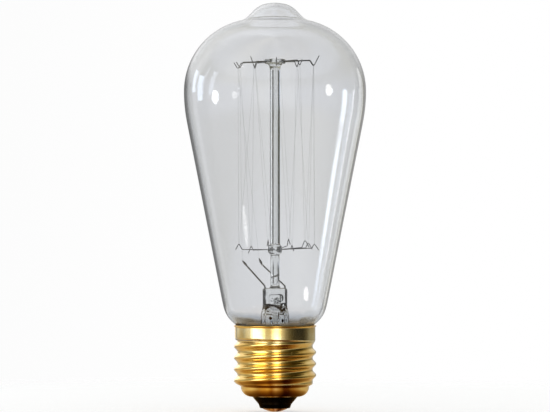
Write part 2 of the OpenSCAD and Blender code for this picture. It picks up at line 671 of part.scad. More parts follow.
// Crimped sleeve: a barrel with a wide bore for the lead, and a nose with a narrow one
module filament_clamp(clamp, aim_at) {
    bore_d = inner_lead_d + 2 * touch_gap;
    eye_d = filament_d + 2 * touch_gap;
    color([0.55, 0.53, 0.5])
        translate(clamp + lead_run * aim_at) aim(aim_at)
            difference() {
                rotate_extrude() polygon([
                    [0, 0], [bore_d / 2 + clamp_wall, 0], [bore_d / 2 + clamp_wall, clamp_barrel],
                    [eye_d / 2 + clamp_wall, clamp_length], [0, clamp_length]]);
                translate([0, 0, -1]) cylinder(h = 1 + clamp_grip + touch_gap, d = bore_d);
                cylinder(h = clamp_length + 1, d = eye_d);
            }
}
module seal_wire(side) {
    color([0.7, 0.35, 0.25])
        translate([side * lead_x, 0, seal_bottom]) cylinder(h = seal_length, d = seal_wire_d);
}

// Copper leads in the cap: one to the contact, one round the flare's rim to the shell's rim
side_r = web_inner_r - outer_lead_d / 2 - side_lead_gap;
side_bend_z = neck_top - outer_lead_d;
side_end = [0, (collar_inner_r + rim_inner_r) / 2 - outer_lead_d, shell_top - touch_gap];
// Corners of the two wires' paths: in the flare's mouth, past its rim, beside the exhaust tube
// and above the insulator's bore
flare_mouth_z = flare_centre[1] - 2;
rim_pass_z = flare_rim_bottom - 1;
flare_pass = [lead_x - 0.7, 3.5, neck_bottom];
rim_approach = [0, neck_r - 3, rim_pass_z];
tip_pass = [-exhaust_r - 1, -0.6, exhaust_tip + 1];
bore_entry = [0, 0, insulator_top + 0.6];
module side_lead() {
    path = [[lead_x, 0, seal_bottom], [lead_x, 0, flare_mouth_z],
            flare_pass, rim_approach, [0, side_r, rim_pass_z], [0, side_r, side_bend_z], side_end];
    color([0.75, 0.45, 0.3])
        wire(path, outer_lead_d, lead_bend_r, [1, 0.3, 0.2]);
}
module centre_lead() {
    path = [[-lead_x, 0, seal_bottom], [-lead_x, 0, flare_mouth_z],
            tip_pass, bore_entry, [0, 0, centre_lead_end]];
    color([0.75, 0.45, 0.3])
        wire(path, outer_lead_d, lead_bend_r, [0, 1, 0]);
}
// Ring of cement between neck and collar, with an upright slot that the side lead runs through
module basing_cement() {
    curve_r = neck_fillet_r - fuse_gap;
    outer_r = collar_inner_r - fuse_gap;
    top = shell_top - rim_solder_d / 2 - fuse_gap;
    slot_w = outer_lead_d + 2 * side_lead_gap;
    slot_wall = 0.2;
    slot_foot = [-slot_w / 2, side_r - slot_w / 2, collar_bottom];
    color([0.75, 0.7, 0.6])
        difference() {
            rotate_extrude() polygon(concat(
                [[outer_r, top], [outer_r, collar_bottom + web_h],
                 [neck_r + fuse_gap, collar_bottom + web_h]],
                arc(fillet_centre, curve_r, 180, 180 - asin((top - neck_top) / curve_r))));
            translate(slot_foot)
                cube([slot_w, outer_r - slot_wall - slot_foot[1], shell_top - collar_bottom]);
        }
}
// A drop of solder in the corner between the rim and the glass, at the back
module rim_solder() {
    below = shell_top - rim_solder_d;
    bore_d = outer_lead_d + 2 * side_lead_gap;
    bend = [0, side_r, side_bend_z];
    color([0.75, 0.76, 0.78])
        difference() {
            translate([0, rim_inner_r, shell_top]) sphere(d = rim_solder_d);
            rotate_extrude() polygon([
                [collar_inner_r - fuse_gap, below], [rim_r + fuse_gap, below],
                [rim_r + fuse_gap, shell_top], [rim_inner_r - fuse_gap, shell_top],
                [rim_inner_r - fuse_gap, flare_z + rim_flare], [collar_inner_r - fuse_gap, flare_z]]);
            rotate_extrude() polygon(concat(glass_side(-fuse_gap), [[0, neck_bottom]]));
            translate(bend) aim(side_end - bend)
                cylinder(h = norm(side_end - bend) + touch_gap, d = bore_d);
        }
}

glass_envelope();
screw_shell();
base_insulator();
contact_plate();
contact_solder();
rim_solder();
basing_cement();
stem_flare();
stem_press();
exhaust_tube();
centre_rod();
lower_bead();
upper_button();
filament();
inner_lead(-1, clamp_near, near_aim);  // inner_lead_near
inner_lead(1, clamp_far, far_aim);  // inner_lead_far
filament_clamp(clamp_near, near_aim);  // filament_clamp_near
filament_clamp(clamp_far, far_aim);  // filament_clamp_far
seal_wire(-1);  // seal_wire_near
seal_wire(1);  // seal_wire_far
side_lead();
centre_lead();
for (i = [1:upper_supports])
    upper_support(i);
for (i = [1:lower_supports])
    lower_support(i);
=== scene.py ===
import math

import bmesh
import bpy
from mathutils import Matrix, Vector, noise


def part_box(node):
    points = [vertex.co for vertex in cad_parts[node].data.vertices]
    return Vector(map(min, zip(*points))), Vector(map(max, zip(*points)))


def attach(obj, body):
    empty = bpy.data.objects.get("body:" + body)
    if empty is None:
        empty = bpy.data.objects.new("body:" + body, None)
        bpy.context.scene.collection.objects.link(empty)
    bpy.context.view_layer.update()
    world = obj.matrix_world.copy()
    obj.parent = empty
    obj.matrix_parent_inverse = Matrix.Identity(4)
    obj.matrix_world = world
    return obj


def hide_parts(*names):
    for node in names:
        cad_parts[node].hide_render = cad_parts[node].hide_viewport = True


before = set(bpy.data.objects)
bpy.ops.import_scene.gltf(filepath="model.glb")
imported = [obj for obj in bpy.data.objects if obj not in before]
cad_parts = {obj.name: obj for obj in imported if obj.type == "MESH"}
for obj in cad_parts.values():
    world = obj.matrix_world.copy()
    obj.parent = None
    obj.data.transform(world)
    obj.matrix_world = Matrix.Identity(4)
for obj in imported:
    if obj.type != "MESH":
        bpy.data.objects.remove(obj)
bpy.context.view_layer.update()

# Sizes are in millimetres, as on the lamp's drawing, until a mesh is made. The studio is in metres
MM = 0.001

# Camera, before the pieces
# The view's width is measured at the lamp's axis
CAMERA_DISTANCE = 0.88
CAMERA_HEIGHT = 0.0517
AIM_HEIGHT = 0.0653
VIEW_WIDTH = 0.17493
SENSOR_WIDTH = 36


def show(thing):
    """Puts a new object in the scene."""
    bpy.context.scene.collection.objects.link(thing)
    return thing


def add_camera():
    """Level with the lower bead and tilted up a little, far enough away for a long lens."""
    data = bpy.data.cameras.new("camera")
    data.sensor_width = SENSOR_WIDTH
    data.lens = SENSOR_WIDTH * CAMERA_DISTANCE / VIEW_WIDTH
    camera = show(bpy.data.objects.new("camera", data))
    camera.location = (0, -CAMERA_DISTANCE, CAMERA_HEIGHT)
    tilt = math.atan2(AIM_HEIGHT - CAMERA_HEIGHT, CAMERA_DISTANCE)
    camera.rotation_euler = (math.pi / 2 + tilt, 0, 0)
    bpy.context.scene.camera = camera


add_camera()


# Sizes of the screw cap
CONTACT_RISE, INSULATOR_H, SHELL_H = 1.1, 3.7, 22.6
SHELL_WALL = 0.3
SHELL_BOTTOM = CONTACT_RISE + INSULATOR_H
SHELL_TOP = SHELL_BOTTOM + SHELL_H
THREAD_R, THREAD_DEPTH, THREAD_PITCH = 13.1, 1.1, 3.62
ROOT_R = THREAD_R - THREAD_DEPTH
COLLAR_R, COLLAR_H = 12.85, 5.0
COLLAR_BOTTOM = SHELL_TOP - COLLAR_H
RIM_R, RIM_H = 13.15, 0.8
BOWL_R, BOWL_H, BOWL_CORNER_R, BOWL_HOLE_R = 10.85, 3.8, 3.1, 6.9
BOWL_CORNER_Z = SHELL_BOTTOM + BOWL_CORNER_R
BOWL_TOP = SHELL_BOTTOM + BOWL_H
# The thread's last crest at +X lies this far under the collar; crests fade in and out
CREST_DROP, CREST_SHARPNESS = 3.55, 1.3
RUN_OUT, RUN_IN, WEB_H, COLLAR_SHARE = 0.8, 1.8, 0.35, 0.64
SHELL_SIDES = 168
# Handling marks in the sheet, broad and fine: how deep, how far apart, and the sink that keeps them inside
DENT_DEPTH, DENT_SPACING, FINE_DEPTH, FINE_SPACING, DENT_SINK = 0.022, 4.2, 0.006, 1.3, 0.012


# Nodes and colours
def add(tree, kind, inputs=None, stops=(), **settings):
    """Adds a node with its settings, its inputs and the stops of its colour ramp.

    An input is a plain value, a socket, or another node, whose first output in use is then meant.
    """
    node = tree.nodes.new(kind)
    for name, value in settings.items():
        setattr(node, name, value)
    for name, given in (inputs or {}).items():
        if isinstance(given, bpy.types.Node):
            given = next(socket for socket in given.outputs if socket.enabled)
        if isinstance(given, bpy.types.NodeSocket):
            tree.links.new(given, node.inputs[name])
        else:
            node.inputs[name].default_value = given
    for count, (where, colour) in enumerate(stops):
        elements = node.color_ramp.elements
        element = elements[count] if count < len(elements) else elements.new(1.0)
        element.position = where
        element.color = colour
    return node


def linear(code):
    """An sRGB hex colour as the linear colour that a shader takes."""
    parts = [int(code[i:i + 2], 16) / 255 for i in (0, 2, 4)]
    return tuple(c / 12.92 if c <= 0.04045 else ((c + 0.055) / 1.055) ** 2.4 for c in parts) + (1.0,)


def stretch(source, low, high, to_low, to_high):
    """Inputs that map a source from one range to another and hold it there outside."""
    return {"Value": source, "From Min": low, "From Max": high, "To Min": to_low, "To Max": to_high}


SMOOTH = {"interpolation_type": "SMOOTHSTEP"}
BLEND = {"data_type": "RGBA"}
MULTIPLY = {"data_type": "RGBA", "blend_type": "MULTIPLY"}
# Sockets of a colour blend: the second colour's share, and the two colours
SHARE, FIRST, SECOND = 0, 6, 7


def grains(tree, across_mm, squeeze=(1, 1, 1), detail=4, roughness=0.55):
    """Noise on the piece itself, with grains of a real size that are squeezed along an axis."""
    spot = add(tree, "ShaderNodeTexCoord").outputs["Object"]
    squeezed = add(tree, "ShaderNodeMapping", {"Vector": spot, "Scale": squeeze})
    return add(tree, "ShaderNodeTexNoise", {"Vector": squeezed, "Scale": 1 / (across_mm * MM),
                                            "Detail": detail, "Roughness": roughness})


def new_material(name):
    material = bpy.data.materials.new(name)
    material.use_nodes = True
    material.node_tree.nodes.clear()
    return material, material.node_tree


def by_height(tree, heights, waver_mm):
    """A tint by the height on the piece, in mm, whose edges waver, and that wavering height."""
    spot = add(tree, "ShaderNodeTexCoord").outputs["Object"]
    height = add(tree, "ShaderNodeSeparateXYZ", {0: spot}).outputs["Z"]
    patch_mm = 7
    waver = add(tree, "ShaderNodeMapRange", stretch(grains(tree, patch_mm, detail=1), 0.3, 0.7,
                                                    -waver_mm * MM, waver_mm * MM), **SMOOTH)
    moved = add(tree, "ShaderNodeMath", {0: height, 1: waver}, operation="ADD")
    low, high = heights[0][0], heights[-1][0]
    share = add(tree, "ShaderNodeMapRange", stretch(moved, low * MM, high * MM, 0, 1))
    tint = add(tree, "ShaderNodeValToRGB", {"Fac": share},
               [((z - low) / (high - low), linear(code)) for z, code in heights])
    return tint, moved


def glass(name, pale, edge, edge_start, edge_end, absorption, wave_mm, wave_depth_mm, heights=None,
          milk=None):
    """Clear glass with painted shade where it turns edge-on, and that lets lamps through to what it holds.

    Its tint can change by height. Milk is two heights, and how clear the glass is at the lower one.
    """
    material, tree = new_material(name)
    # Painted shade: the colour goes from pale to edge as the surface turns edge-on
    facing = add(tree, "ShaderNodeLayerWeight").outputs["Facing"]
    tint = add(tree, "ShaderNodeValToRGB", {"Fac": facing},
               [(edge_start, linear(pale)), (edge_end, linear(edge))])
    tint.color_ramp.interpolation = "EASE"
    waves = add(tree, "ShaderNodeBump", {"Height": grains(tree, wave_mm, detail=1),
                                         "Distance": wave_depth_mm * MM})
    look = {"Transmission Weight": 1.0, "Roughness": 0.0, "IOR": 1.5, "Normal": waves, "Base Color": tint}
    if heights:
        smoked, height = by_height(tree, heights, waver_mm=0.6)
        low, high, clearness = milk
        look["Transmission Weight"] = add(tree, "ShaderNodeMapRange",
                                          stretch(height, low * MM, high * MM, clearness, 1), **SMOOTH)
        look["Base Color"] = add(tree, "ShaderNodeMix", {SHARE: 1.0, FIRST: tint, SECOND: smoked},
                                 **MULTIPLY)
    body = add(tree, "ShaderNodeBsdfPrincipled", look)
    lamps = add(tree, "ShaderNodeBsdfTransparent", {"Color": linear("E4E8E8")})
    shadow = add(tree, "ShaderNodeLightPath").outputs["Is Shadow Ray"]
    surface = add(tree, "ShaderNodeMixShader", {0: shadow, 1: body, 2: lamps})
    volume = add(tree, "ShaderNodeVolumeAbsorption",
                 {"Color": linear("BEC0C1"), "Density": absorption / MM})
    add(tree, "ShaderNodeOutputMaterial", {"Surface": surface, "Volume": volume})
    return material


def metal(name, bright, dull, spot_mm, polish, wear, scratch_mm, scratch_depth_mm, squeeze=(1, 1, 1),
          heights=None):
    """Metal whose colour and polish drift in patches, with fine marks from drawing or rolling.

    Polish and wear are the roughness of the brightest and of the dullest patches.
    """
    material, tree = new_material(name)
    patches = grains(tree, spot_mm)
    colour = add(tree, "ShaderNodeValToRGB", {"Fac": patches},
                 [(0.35, linear(dull)), (0.6, linear(bright))])
    if heights:
        tint, _ = by_height(tree, heights, waver_mm=0.1)
        colour = add(tree, "ShaderNodeMix", {SHARE: 1.0, FIRST: colour, SECOND: tint}, **MULTIPLY)
    gloss = add(tree, "ShaderNodeMapRange", stretch(patches, 0.3, 0.65, wear, polish), **SMOOTH)
    marks = grains(tree, scratch_mm, squeeze, detail=3, roughness=0.7)
    relief = add(tree, "ShaderNodeBump", {"Height": marks, "Distance": scratch_depth_mm * MM})
    body = add(tree, "ShaderNodeBsdfPrincipled", {"Metallic": 1.0, "Base Color": colour,
                                                  "Roughness": gloss, "Normal": relief})
    add(tree, "ShaderNodeOutputMaterial", {"Surface": body})
    return material


def matt(name, light, dark, spot_mm, roughness, grain_mm, grain_depth_mm, specular=0.5, coat=0.0):
    """A non-metal with grains in its colour and its surface."""
    material, tree = new_material(name)
    colour = add(tree, "ShaderNodeValToRGB", {"Fac": grains(tree, spot_mm)},
                 [(0.35, linear(dark)), (0.65, linear(light))])
    grain = grains(tree, grain_mm)
    gloss = add(tree, "ShaderNodeMapRange", stretch(grain, 0.3, 0.7, roughness * 0.7, roughness), **SMOOTH)
    relief = add(tree, "ShaderNodeBump", {"Height": grain, "Distance": grain_depth_mm * MM})
    body = add(tree, "ShaderNodeBsdfPrincipled",
               {"Base Color": colour, "Roughness": gloss, "Normal": relief,
                "Specular IOR Level": specular, "Coat Weight": coat, "Coat Roughness": 0.03})
    add(tree, "ShaderNodeOutputMaterial", {"Surface": body})
    return material


# Soda-lime glass, blown in a mould: clear with a faint grey, with painted shade where the wall is seen
# edge-on, slightly wavy, and smoked blue-grey just above the cap, where the burners sealed it to the stem.
BULB_GLASS = glass("soda_lime_glass_blown", pale="F0F1F3", edge="D2D4D5", edge_start=0.55, edge_end=0.95,
                   absorption=0.09, wave_mm=22, wave_depth_mm=0.012,
                   heights=[(SHELL_TOP + 0.2, "C9B898"), (SHELL_TOP + 1, "CFCBC4"),
                            (SHELL_TOP + 1.6, "DCE0E4"), (SHELL_TOP + 2.8, "EAEDF0"),
                            (SHELL_TOP + 4, "FFFFFF")],
                   milk=(SHELL_TOP + 0.1, SHELL_TOP + 1.3, 0.35))
# Lead glass, drawn to rod and tube and pressed hot: brighter than the bulb, with painted shade as dark
# outlines.
STEM_GLASS = glass("lead_glass_drawn", pale="EEF0F0", edge="9CA0A0", edge_start=0.4, edge_end=0.9,
                   absorption=0.01, wave_mm=5, wave_depth_mm=0.02)
# Painted shade: where the jaws folded the glass over itself no light comes through, so matt black
# drops stand in for that dark.
PAINTED_FOLD_SHADE = matt("lead_glass_fold_painted_shade", light="101111", dark="080909", spot_mm=0.5, roughness=0.8,
                    grain_mm=0.2, grain_depth_mm=0.004, specular=0.02)
# Brass sheet, drawn and rolled, then polished: pale gold, browner in patches, with marks round it,
# and a deeper gold, set by height, on the thread, the bowl and the rim.
CAP_BRASS = metal("brass_rolled_polished", bright="EFDDA8", dull="E0C27C", spot_mm=5, polish=0.1,
                  wear=0.17, scratch_mm=0.9, scratch_depth_mm=0.003, squeeze=(1, 1, 9),
                  heights=[(SHELL_BOTTOM, "FFF0C8"), (COLLAR_BOTTOM - 1, "FFF0C8"),
                           (COLLAR_BOTTOM + 0.1, "FFFFFF"), (SHELL_TOP - 0.9, "FFFFFF"),
                           (SHELL_TOP - 0.5, "FFE4A8"), (SHELL_TOP + 0.2, "FFE4A8")])
# Vitrite, black glass moulded hot: deep gloss with fine pits.
VITRITE = matt("vitrite_moulded", light="060505", dark="030303", spot_mm=1.5, roughness=0.22,
               grain_mm=0.35, grain_depth_mm=0.01, specular=0.25, coat=0.15)
# Brass sheet, stamped and rubbed by holders: tan and dull.
CONTACT_BRASS = metal("brass_stamped_worn", bright="E0B894", dull="B88C68", spot_mm=1.2, polish=0.25,
                      wear=0.45, scratch_mm=0.25, scratch_depth_mm=0.006)
# Soft solder, melted and left: grey, dull, with a frosty skin.
SOLDER = metal("soft_solder_melted", bright="C9C5BE", dull="96928B", spot_mm=0.8, polish=0.3, wear=0.5,
               scratch_mm=0.3, scratch_depth_mm=0.015)
# Phenolic resin and marble flour, baked: sandy and porous.
CEMENT = matt("lamp_cement_baked", light="C8B798", dark="9D8A6A", spot_mm=0.6, roughness=0.85,
              grain_mm=0.15, grain_depth_mm=0.03, specular=0.3)
# Molybdenum wire, drawn: mid grey.
SUPPORT_WIRE = metal("molybdenum_wire_drawn", bright="77787A", dull="55565A", spot_mm=0.8, polish=0.25,
                     wear=0.4, scratch_mm=0.08, scratch_depth_mm=0.001)
# Tungsten wire, drawn and coiled: dark grey with a graphite bloom.
TUNGSTEN = metal("tungsten_wire_coiled", bright="C2C3C6", dull="A6A7AB", spot_mm=0.5, polish=0.3,
                 wear=0.45, scratch_mm=0.05, scratch_depth_mm=0.0005)
# Nickel wire, drawn: warm grey.
NICKEL = metal("nickel_wire_drawn", bright="8D8A86", dull="6A6764", spot_mm=0.9, polish=0.2, wear=0.35,
               scratch_mm=0.1, scratch_depth_mm=0.001)
# Nickel sheet, rolled round the lead and crimped: the same grey, scuffed.
NICKEL_SHEET = metal("nickel_sheet_crimped", bright="85827E", dull="5C5A58", spot_mm=0.5, polish=0.3,
                     wear=0.5, scratch_mm=0.12, scratch_depth_mm=0.004)
# Copper-clad wire, oxidised by the flame that sealed the glass on it: nearly black.
SEAL_WIRE = metal("clad_wire_oxidised", bright="3A3430", dull="1E1B1A", spot_mm=0.5, polish=0.3, wear=0.5,
                  scratch_mm=0.1, scratch_depth_mm=0.002)
# Copper-clad wire, drawn and tarnished: brown.
COPPER = metal("copper_wire_drawn", bright="93705C", dull="5E4638", spot_mm=0.7, polish=0.2, wear=0.4,
               scratch_mm=0.1, scratch_depth_mm=0.001)


# Meshes
def mesh_object(name, vertices, faces, material, sharp_degrees=40):
    """A smooth piece from points in millimetres."""
    mesh = bpy.data.meshes.new(name)
    mesh.from_pydata([tuple(c * MM for c in v) for v in vertices], [], faces)
    return dress(bpy.data.objects.new(name, mesh), material, sharp_degrees)


def worked_object(name, work):
    """An object from a mesh that was worked on, in metres."""
    mesh = bpy.data.meshes.new(name)
    work.to_mesh(mesh)
    work.free()
    return bpy.data.objects.new(name, mesh)


def dress(piece, material, sharp_degrees=40):
    """Closes a piece, turns its faces outwards, shades it smooth and gives it its material."""
    work = bmesh.new()
    work.from_mesh(piece.data)
    bmesh.ops.remove_doubles(work, verts=work.verts, dist=1e-8)
    bmesh.ops.recalc_face_normals(work, faces=work.faces)
    work.to_mesh(piece.data)
    work.free()
    piece.data.materials.clear()
    piece.data.materials.append(material)
    piece.data.shade_smooth()
    piece.data.set_sharp_from_angle(angle=math.radians(sharp_degrees))
    return show(piece)


def place(piece, slot, *nodes):
    """Puts a finished piece on the lamp, in place of the solids that it stands for."""
    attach(piece, "root")
    if nodes:
        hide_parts(*nodes)


class Rings:
    """Rings of points, one after the other, that a skin joins into a piece."""

    def __init__(self, sides):
        self.sides = sides
        self.vertices = []
        self.rings = []

    def add_ring(self, point_at):
        """A ring whose points come from their azimuth in degrees."""
        start = len(self.vertices)
        self.vertices += [point_at(360 * k / self.sides) for k in range(self.sides)]
        self.rings.append(list(range(start, start + self.sides)))

    def add_centre(self, height):
        """A ring that has shrunk to one point on the axis."""
        self.rings.append([len(self.vertices)] * self.sides)
        self.vertices.append((0, 0, height))


def lathe(name, outline, material, sides=96, sharp_degrees=40):
    """Turns a closed outline of (radius, height) points round the axis."""
    turned = Rings(sides)
    for radius, height in outline:
        if radius < 1e-6:
            turned.add_centre(height)
        else:
            turned.add_ring(lambda azimuth: (radius * cosd(azimuth), radius * sind(azimuth), height))
    return mesh_object(name, turned.vertices, skin(turned.rings), material, sharp_degrees)


def skin(rings, closed=True):
    """Faces between neighbouring rings; a ring of one repeated point makes triangles."""
    faces = []
    pairs = list(zip(rings, rings[1:])) + ([(rings[-1], rings[0])] if closed else [])
    for low, high in pairs:
        for k in range(len(low)):
            j = (k + 1) % len(low)
            corners = []
            for corner in (low[k], low[j], high[j], high[k]):
                if corner not in corners:
                    corners.append(corner)
            if len(corners) > 2:
                faces.append(corners)
    return faces


def arc(centre, radius, start, end, step=2.0):
    """Points of an arc in degrees, both ends included."""
    count = max(1, math.ceil(abs(end - start) / step))
    turns = [math.radians(start + (end - start) * i / count) for i in range(count + 1)]
    return [(centre[0] + radius * math.cos(t), centre[1] + radius * math.sin(t)) for t in turns]


def smoothstep(low, high, value):
    """From 0 at low to 1 at high, with soft ends; low may be the greater."""
    t = min(1.0, max(0.0, (value - low) / (high - low)))
    return t * t * (3 - 2 * t)


def mix(a, b, share):
    return a + (b - a) * share


def cosd(degrees):
    return math.cos(math.radians(degrees))


def sind(degrees):
    return math.sin(math.radians(degrees))


def tand(degrees):
    return math.tan(math.radians(degrees))


# Screw cap
def thread_radius(azimuth, z):
    """Outer radius of the rolled thread, a right-handed knuckle helix."""
    base = COLLAR_BOTTOM - CREST_DROP + THREAD_PITCH * azimuth / 360
    crest = base + THREAD_PITCH * round((z - base) / THREAD_PITCH)
    wave = (1 + cosd(360 * (z - crest) / THREAD_PITCH)) / 2
    out = min(1, max(0, (crest - BOWL_TOP - WEB_H) / RUN_OUT))
    into = min(1, max(0, (crest - COLLAR_BOTTOM + RUN_IN) / RUN_IN))
    return ROOT_R + THREAD_DEPTH * wave ** CREST_SHARPNESS * out * (1 - (1 - COLLAR_SHARE) * into)


def shell_radius(azimuth, z):
    """Outer radius of the shell between bowl and rim. The collar's foot is sharp at +X, soft at -X."""
    thread = thread_radius(azimuth, z)
    foot = mix(BOWL_R, thread, smoothstep(BOWL_CORNER_Z, BOWL_TOP + 0.25, z))
    softness = mix(0.25, 1.3, (1 - cosd(azimuth)) / 2)
    return mix(foot, COLLAR_R, smoothstep(COLLAR_BOTTOM - 0.15, COLLAR_BOTTOM + softness, z))


def dented(azimuth, z, radius):
    """Handling marks: the sheet wavers by a few hundredths of a millimetre."""
    spot = Vector((radius * cosd(azimuth), radius * sind(azimuth), z))
    return (radius + DENT_DEPTH * noise.noise(spot / DENT_SPACING)
            + FINE_DEPTH * noise.noise(spot / FINE_SPACING) - DENT_SINK)


def build_shell():
    """One wall of sheet: up the outside, over the rim and down the inside."""
    sheet = Rings(SHELL_SIDES)

    def ring(radius_at, z, inset=0):
        def point_at(azimuth):
            radius = radius_at(azimuth, z) if callable(radius_at) else radius_at
            radius = dented(azimuth, z, radius) - inset
            return (radius * cosd(azimuth), radius * sind(azimuth), z)
        sheet.add_ring(point_at)

    corner = (BOWL_R - BOWL_CORNER_R, BOWL_CORNER_Z)
    rows_outside, rows_inside = 0.11, 0.24
    plain_h = 1.5
    # Up the outside: bowl, thread, collar and the rolled rim
    ring(BOWL_HOLE_R, SHELL_BOTTOM + 0.1)
    for radius, z in arc(corner, BOWL_CORNER_R, -90, 0, 5):
        ring(radius, z)
    height = BOWL_CORNER_Z + rows_outside
    while height < COLLAR_BOTTOM + plain_h:
        ring(shell_radius, height)
        height += rows_outside
    rim_bend = [(COLLAR_R, 1.3), (COLLAR_R, 0.75), (COLLAR_R, 0.62), (COLLAR_R + 0.05, 0.5),
                (RIM_R - 0.08, 0.4), (RIM_R, 0.3), (RIM_R, 0.18), (RIM_R - 0.05, 0.06), (RIM_R - 0.14, 0),
                (RIM_R - 0.25, 0.05), (RIM_R - SHELL_WALL, 0.2), (RIM_R - SHELL_WALL, 0.45)]
    for radius, below_top in rim_bend:
        ring(radius, SHELL_TOP - below_top)
    # Down the inside
    ring(COLLAR_R - SHELL_WALL, SHELL_TOP - RIM_H - 0.05)
    height = COLLAR_BOTTOM + plain_h
    while height > BOWL_CORNER_Z:
        ring(shell_radius, height, SHELL_WALL)
        height -= rows_inside
    for radius, z in arc(corner, BOWL_CORNER_R - SHELL_WALL, 0, -90, 10):
        ring(radius, z)
    ring(BOWL_HOLE_R, SHELL_BOTTOM + SHELL_WALL)
    shell = mesh_object("brass_screw_shell", sheet.vertices, skin(sheet.rings), CAP_BRASS,
                        sharp_degrees=60)
    place(shell, "cap_brass", "screw_shell")
    return shell


SHELL = build_shell()


# Insulator and contact
INSULATOR_TOP_R, INSULATOR_WAIST_R, INSULATOR_WAIST_H, INSULATOR_END_R = 7.3, 5.2, 1.25, 4.8
INSULATOR_FILL_TOP, INSULATOR_BORE_R = BOWL_CORNER_Z + 0.2, 1.0
CONTACT_R, CONTACT_WALL, SOLDER_R, SOLDER_FLAT_R = 4.2, 0.4, 2.3, 1.2
GAP = 0.02
DOME_Z = (CONTACT_R ** 2 + CONTACT_RISE ** 2 - SOLDER_FLAT_R ** 2) / (2 * CONTACT_RISE)
DOME_R = math.hypot(SOLDER_FLAT_R, DOME_Z)


def dome(inset, start_r, end_r, step=1.5):
    """The contact's shallow dome, from one radius to another."""
    radius = DOME_R - inset
    angles = [math.degrees(math.asin(r / radius)) - 90 for r in (start_r, end_r)]
    return arc((0, DOME_Z), radius, angles[0], angles[1], step)


def rounded(points, radius, steps=4):
    """An outline with its sharp corners rounded: each corner is (point, rounded or not)."""
    out = []
    for i, (point, round_it) in enumerate(points):
        here = Vector(point)
        if not round_it:
            out.append(tuple(here))
            continue
        before = Vector(points[i - 1][0]) - here
        after = Vector(points[(i + 1) % len(points)][0]) - here
        reach = min(radius, before.length * 0.45, after.length * 0.45)
        a, b = here + before.normalized() * reach, here + after.normalized() * reach
        for k in range(steps + 1):
            t = k / steps
            out.append(tuple(a * (1 - t) ** 2 + here * 2 * t * (1 - t) + b * t * t))
    return out


def build_insulator():
    """The black button: it bears the contact's dome, is waisted outside and fills the bowl's corner."""
    seat = [(p, False) for p in dome(CONTACT_WALL + GAP, INSULATOR_BORE_R, CONTACT_R + GAP)]
    sides = [((CONTACT_R + GAP, CONTACT_RISE), True), ((INSULATOR_END_R, CONTACT_RISE), True),
             ((INSULATOR_WAIST_R, CONTACT_RISE + INSULATOR_WAIST_H), True),
             ((INSULATOR_TOP_R, SHELL_BOTTOM), True), ((BOWL_HOLE_R - GAP, SHELL_BOTTOM), False)]
    inside = [(p, False) for p in arc((BOWL_R - BOWL_CORNER_R, BOWL_CORNER_Z),
                                      BOWL_CORNER_R - SHELL_WALL - GAP, -90, 0, 6)]
    top = [((BOWL_R - SHELL_WALL - GAP, INSULATOR_FILL_TOP), False),
           ((INSULATOR_BORE_R, INSULATOR_FILL_TOP), False)]
    edge_r = 0.35
    outline = rounded(seat + sides + inside + top, edge_r)
    place(lathe("vitrite_insulator", outline, VITRITE, sides=128, sharp_degrees=50), "vitrite",
          "base_insulator")


def build_contact():
    """The stamped plate, and the drop of solder in its hole, which is uneven above the worn flat."""
    hole = SOLDER_R + GAP
    plate = dome(0, hole, CONTACT_R - 0.12) + [(CONTACT_R, dome(0.1, 0, CONTACT_R - 0.1)[-1][1] + 0.05)]
    plate += dome(CONTACT_WALL, hole, CONTACT_R - 0.1)[::-1]
    place(lathe("contact_plate_dome", plate, CONTACT_BRASS, sharp_degrees=60), "contact_brass",
          "contact_plate")
    blob = [(0, 0), (SOLDER_FLAT_R * 0.5, 0), (SOLDER_FLAT_R, 0.004)] + dome(0, SOLDER_FLAT_R, SOLDER_R)[1:]
    blob += dome(CONTACT_WALL, 0, SOLDER_R)[::-1]
    solder = lathe("contact_solder_drop", blob, SOLDER, sides=72, sharp_degrees=60)
    above_flat, lump_h = 0.01, 0.03
    for vertex in solder.data.vertices:
        spot = vertex.co / MM
        if spot.z > above_flat:
            vertex.co.z += lump_h * MM * max(0, noise.noise(spot * 1.4))
    place(solder, "solder", "contact_solder")


build_insulator()
build_contact()


# Glass envelope
BULB_R, GLASS_WALL, CONE_ANGLE, WAIST_R, BULB_DOME_R = 29.0, 0.8, 11.2, 51.0, 23.0
SHOULDER_R, SHOULDER_ANGLE = 8.9, 60.0
NECK_R, NECK_FILLET_R, NECK_LENGTH, NECK_TUCK = 10.9, 2.5, 6.5, 2.2
NIPPLE_FOOT_R, NIPPLE_FLANK, NIPPLE_CROWN_R, NIPPLE_CROWN_ANGLE = 10.0, 46.0, 14.0, 20.0
NIPPLE_CORNER_R, NIPPLE_FILLET_R = 3.0, 0.8
NECK_TOP = SHELL_TOP - NECK_TUCK
NECK_BOTTOM = NECK_TOP - NECK_LENGTH


def along(centre, length, degrees):
    """The point at a distance and angle from another."""
    return (centre[0] + length * cosd(degrees), centre[1] + length * sind(degrees))


FILLET_CENTRE = (NECK_R + NECK_FILLET_R, NECK_TOP)
SHOULDER_CENTRE = along(FILLET_CENTRE, NECK_FILLET_R + SHOULDER_R, 180 - SHOULDER_ANGLE)
CONE_FOOT = along(SHOULDER_CENTRE, SHOULDER_R, -CONE_ANGLE)
CONE_HEAD_R = BULB_R - WAIST_R * (1 - cosd(CONE_ANGLE))
WIDEST_Z = CONE_FOOT[1] + (CONE_HEAD_R - CONE_FOOT[0]) / tand(CONE_ANGLE) + WAIST_R * sind(CONE_ANGLE)
WAIST_CENTRE = (BULB_R - WAIST_R, WIDEST_Z)
DOME_CENTRE = (BULB_R - BULB_DOME_R, WIDEST_Z)
DOME_ANGLE = math.degrees(math.acos((NIPPLE_FOOT_R - DOME_CENTRE[0]) / BULB_DOME_R))
FOOT_CENTRE = along(DOME_CENTRE, BULB_DOME_R + NIPPLE_FILLET_R, DOME_ANGLE)
FLANK_FOOT = along(FOOT_CENTRE, -NIPPLE_FILLET_R, 90 - NIPPLE_FLANK)
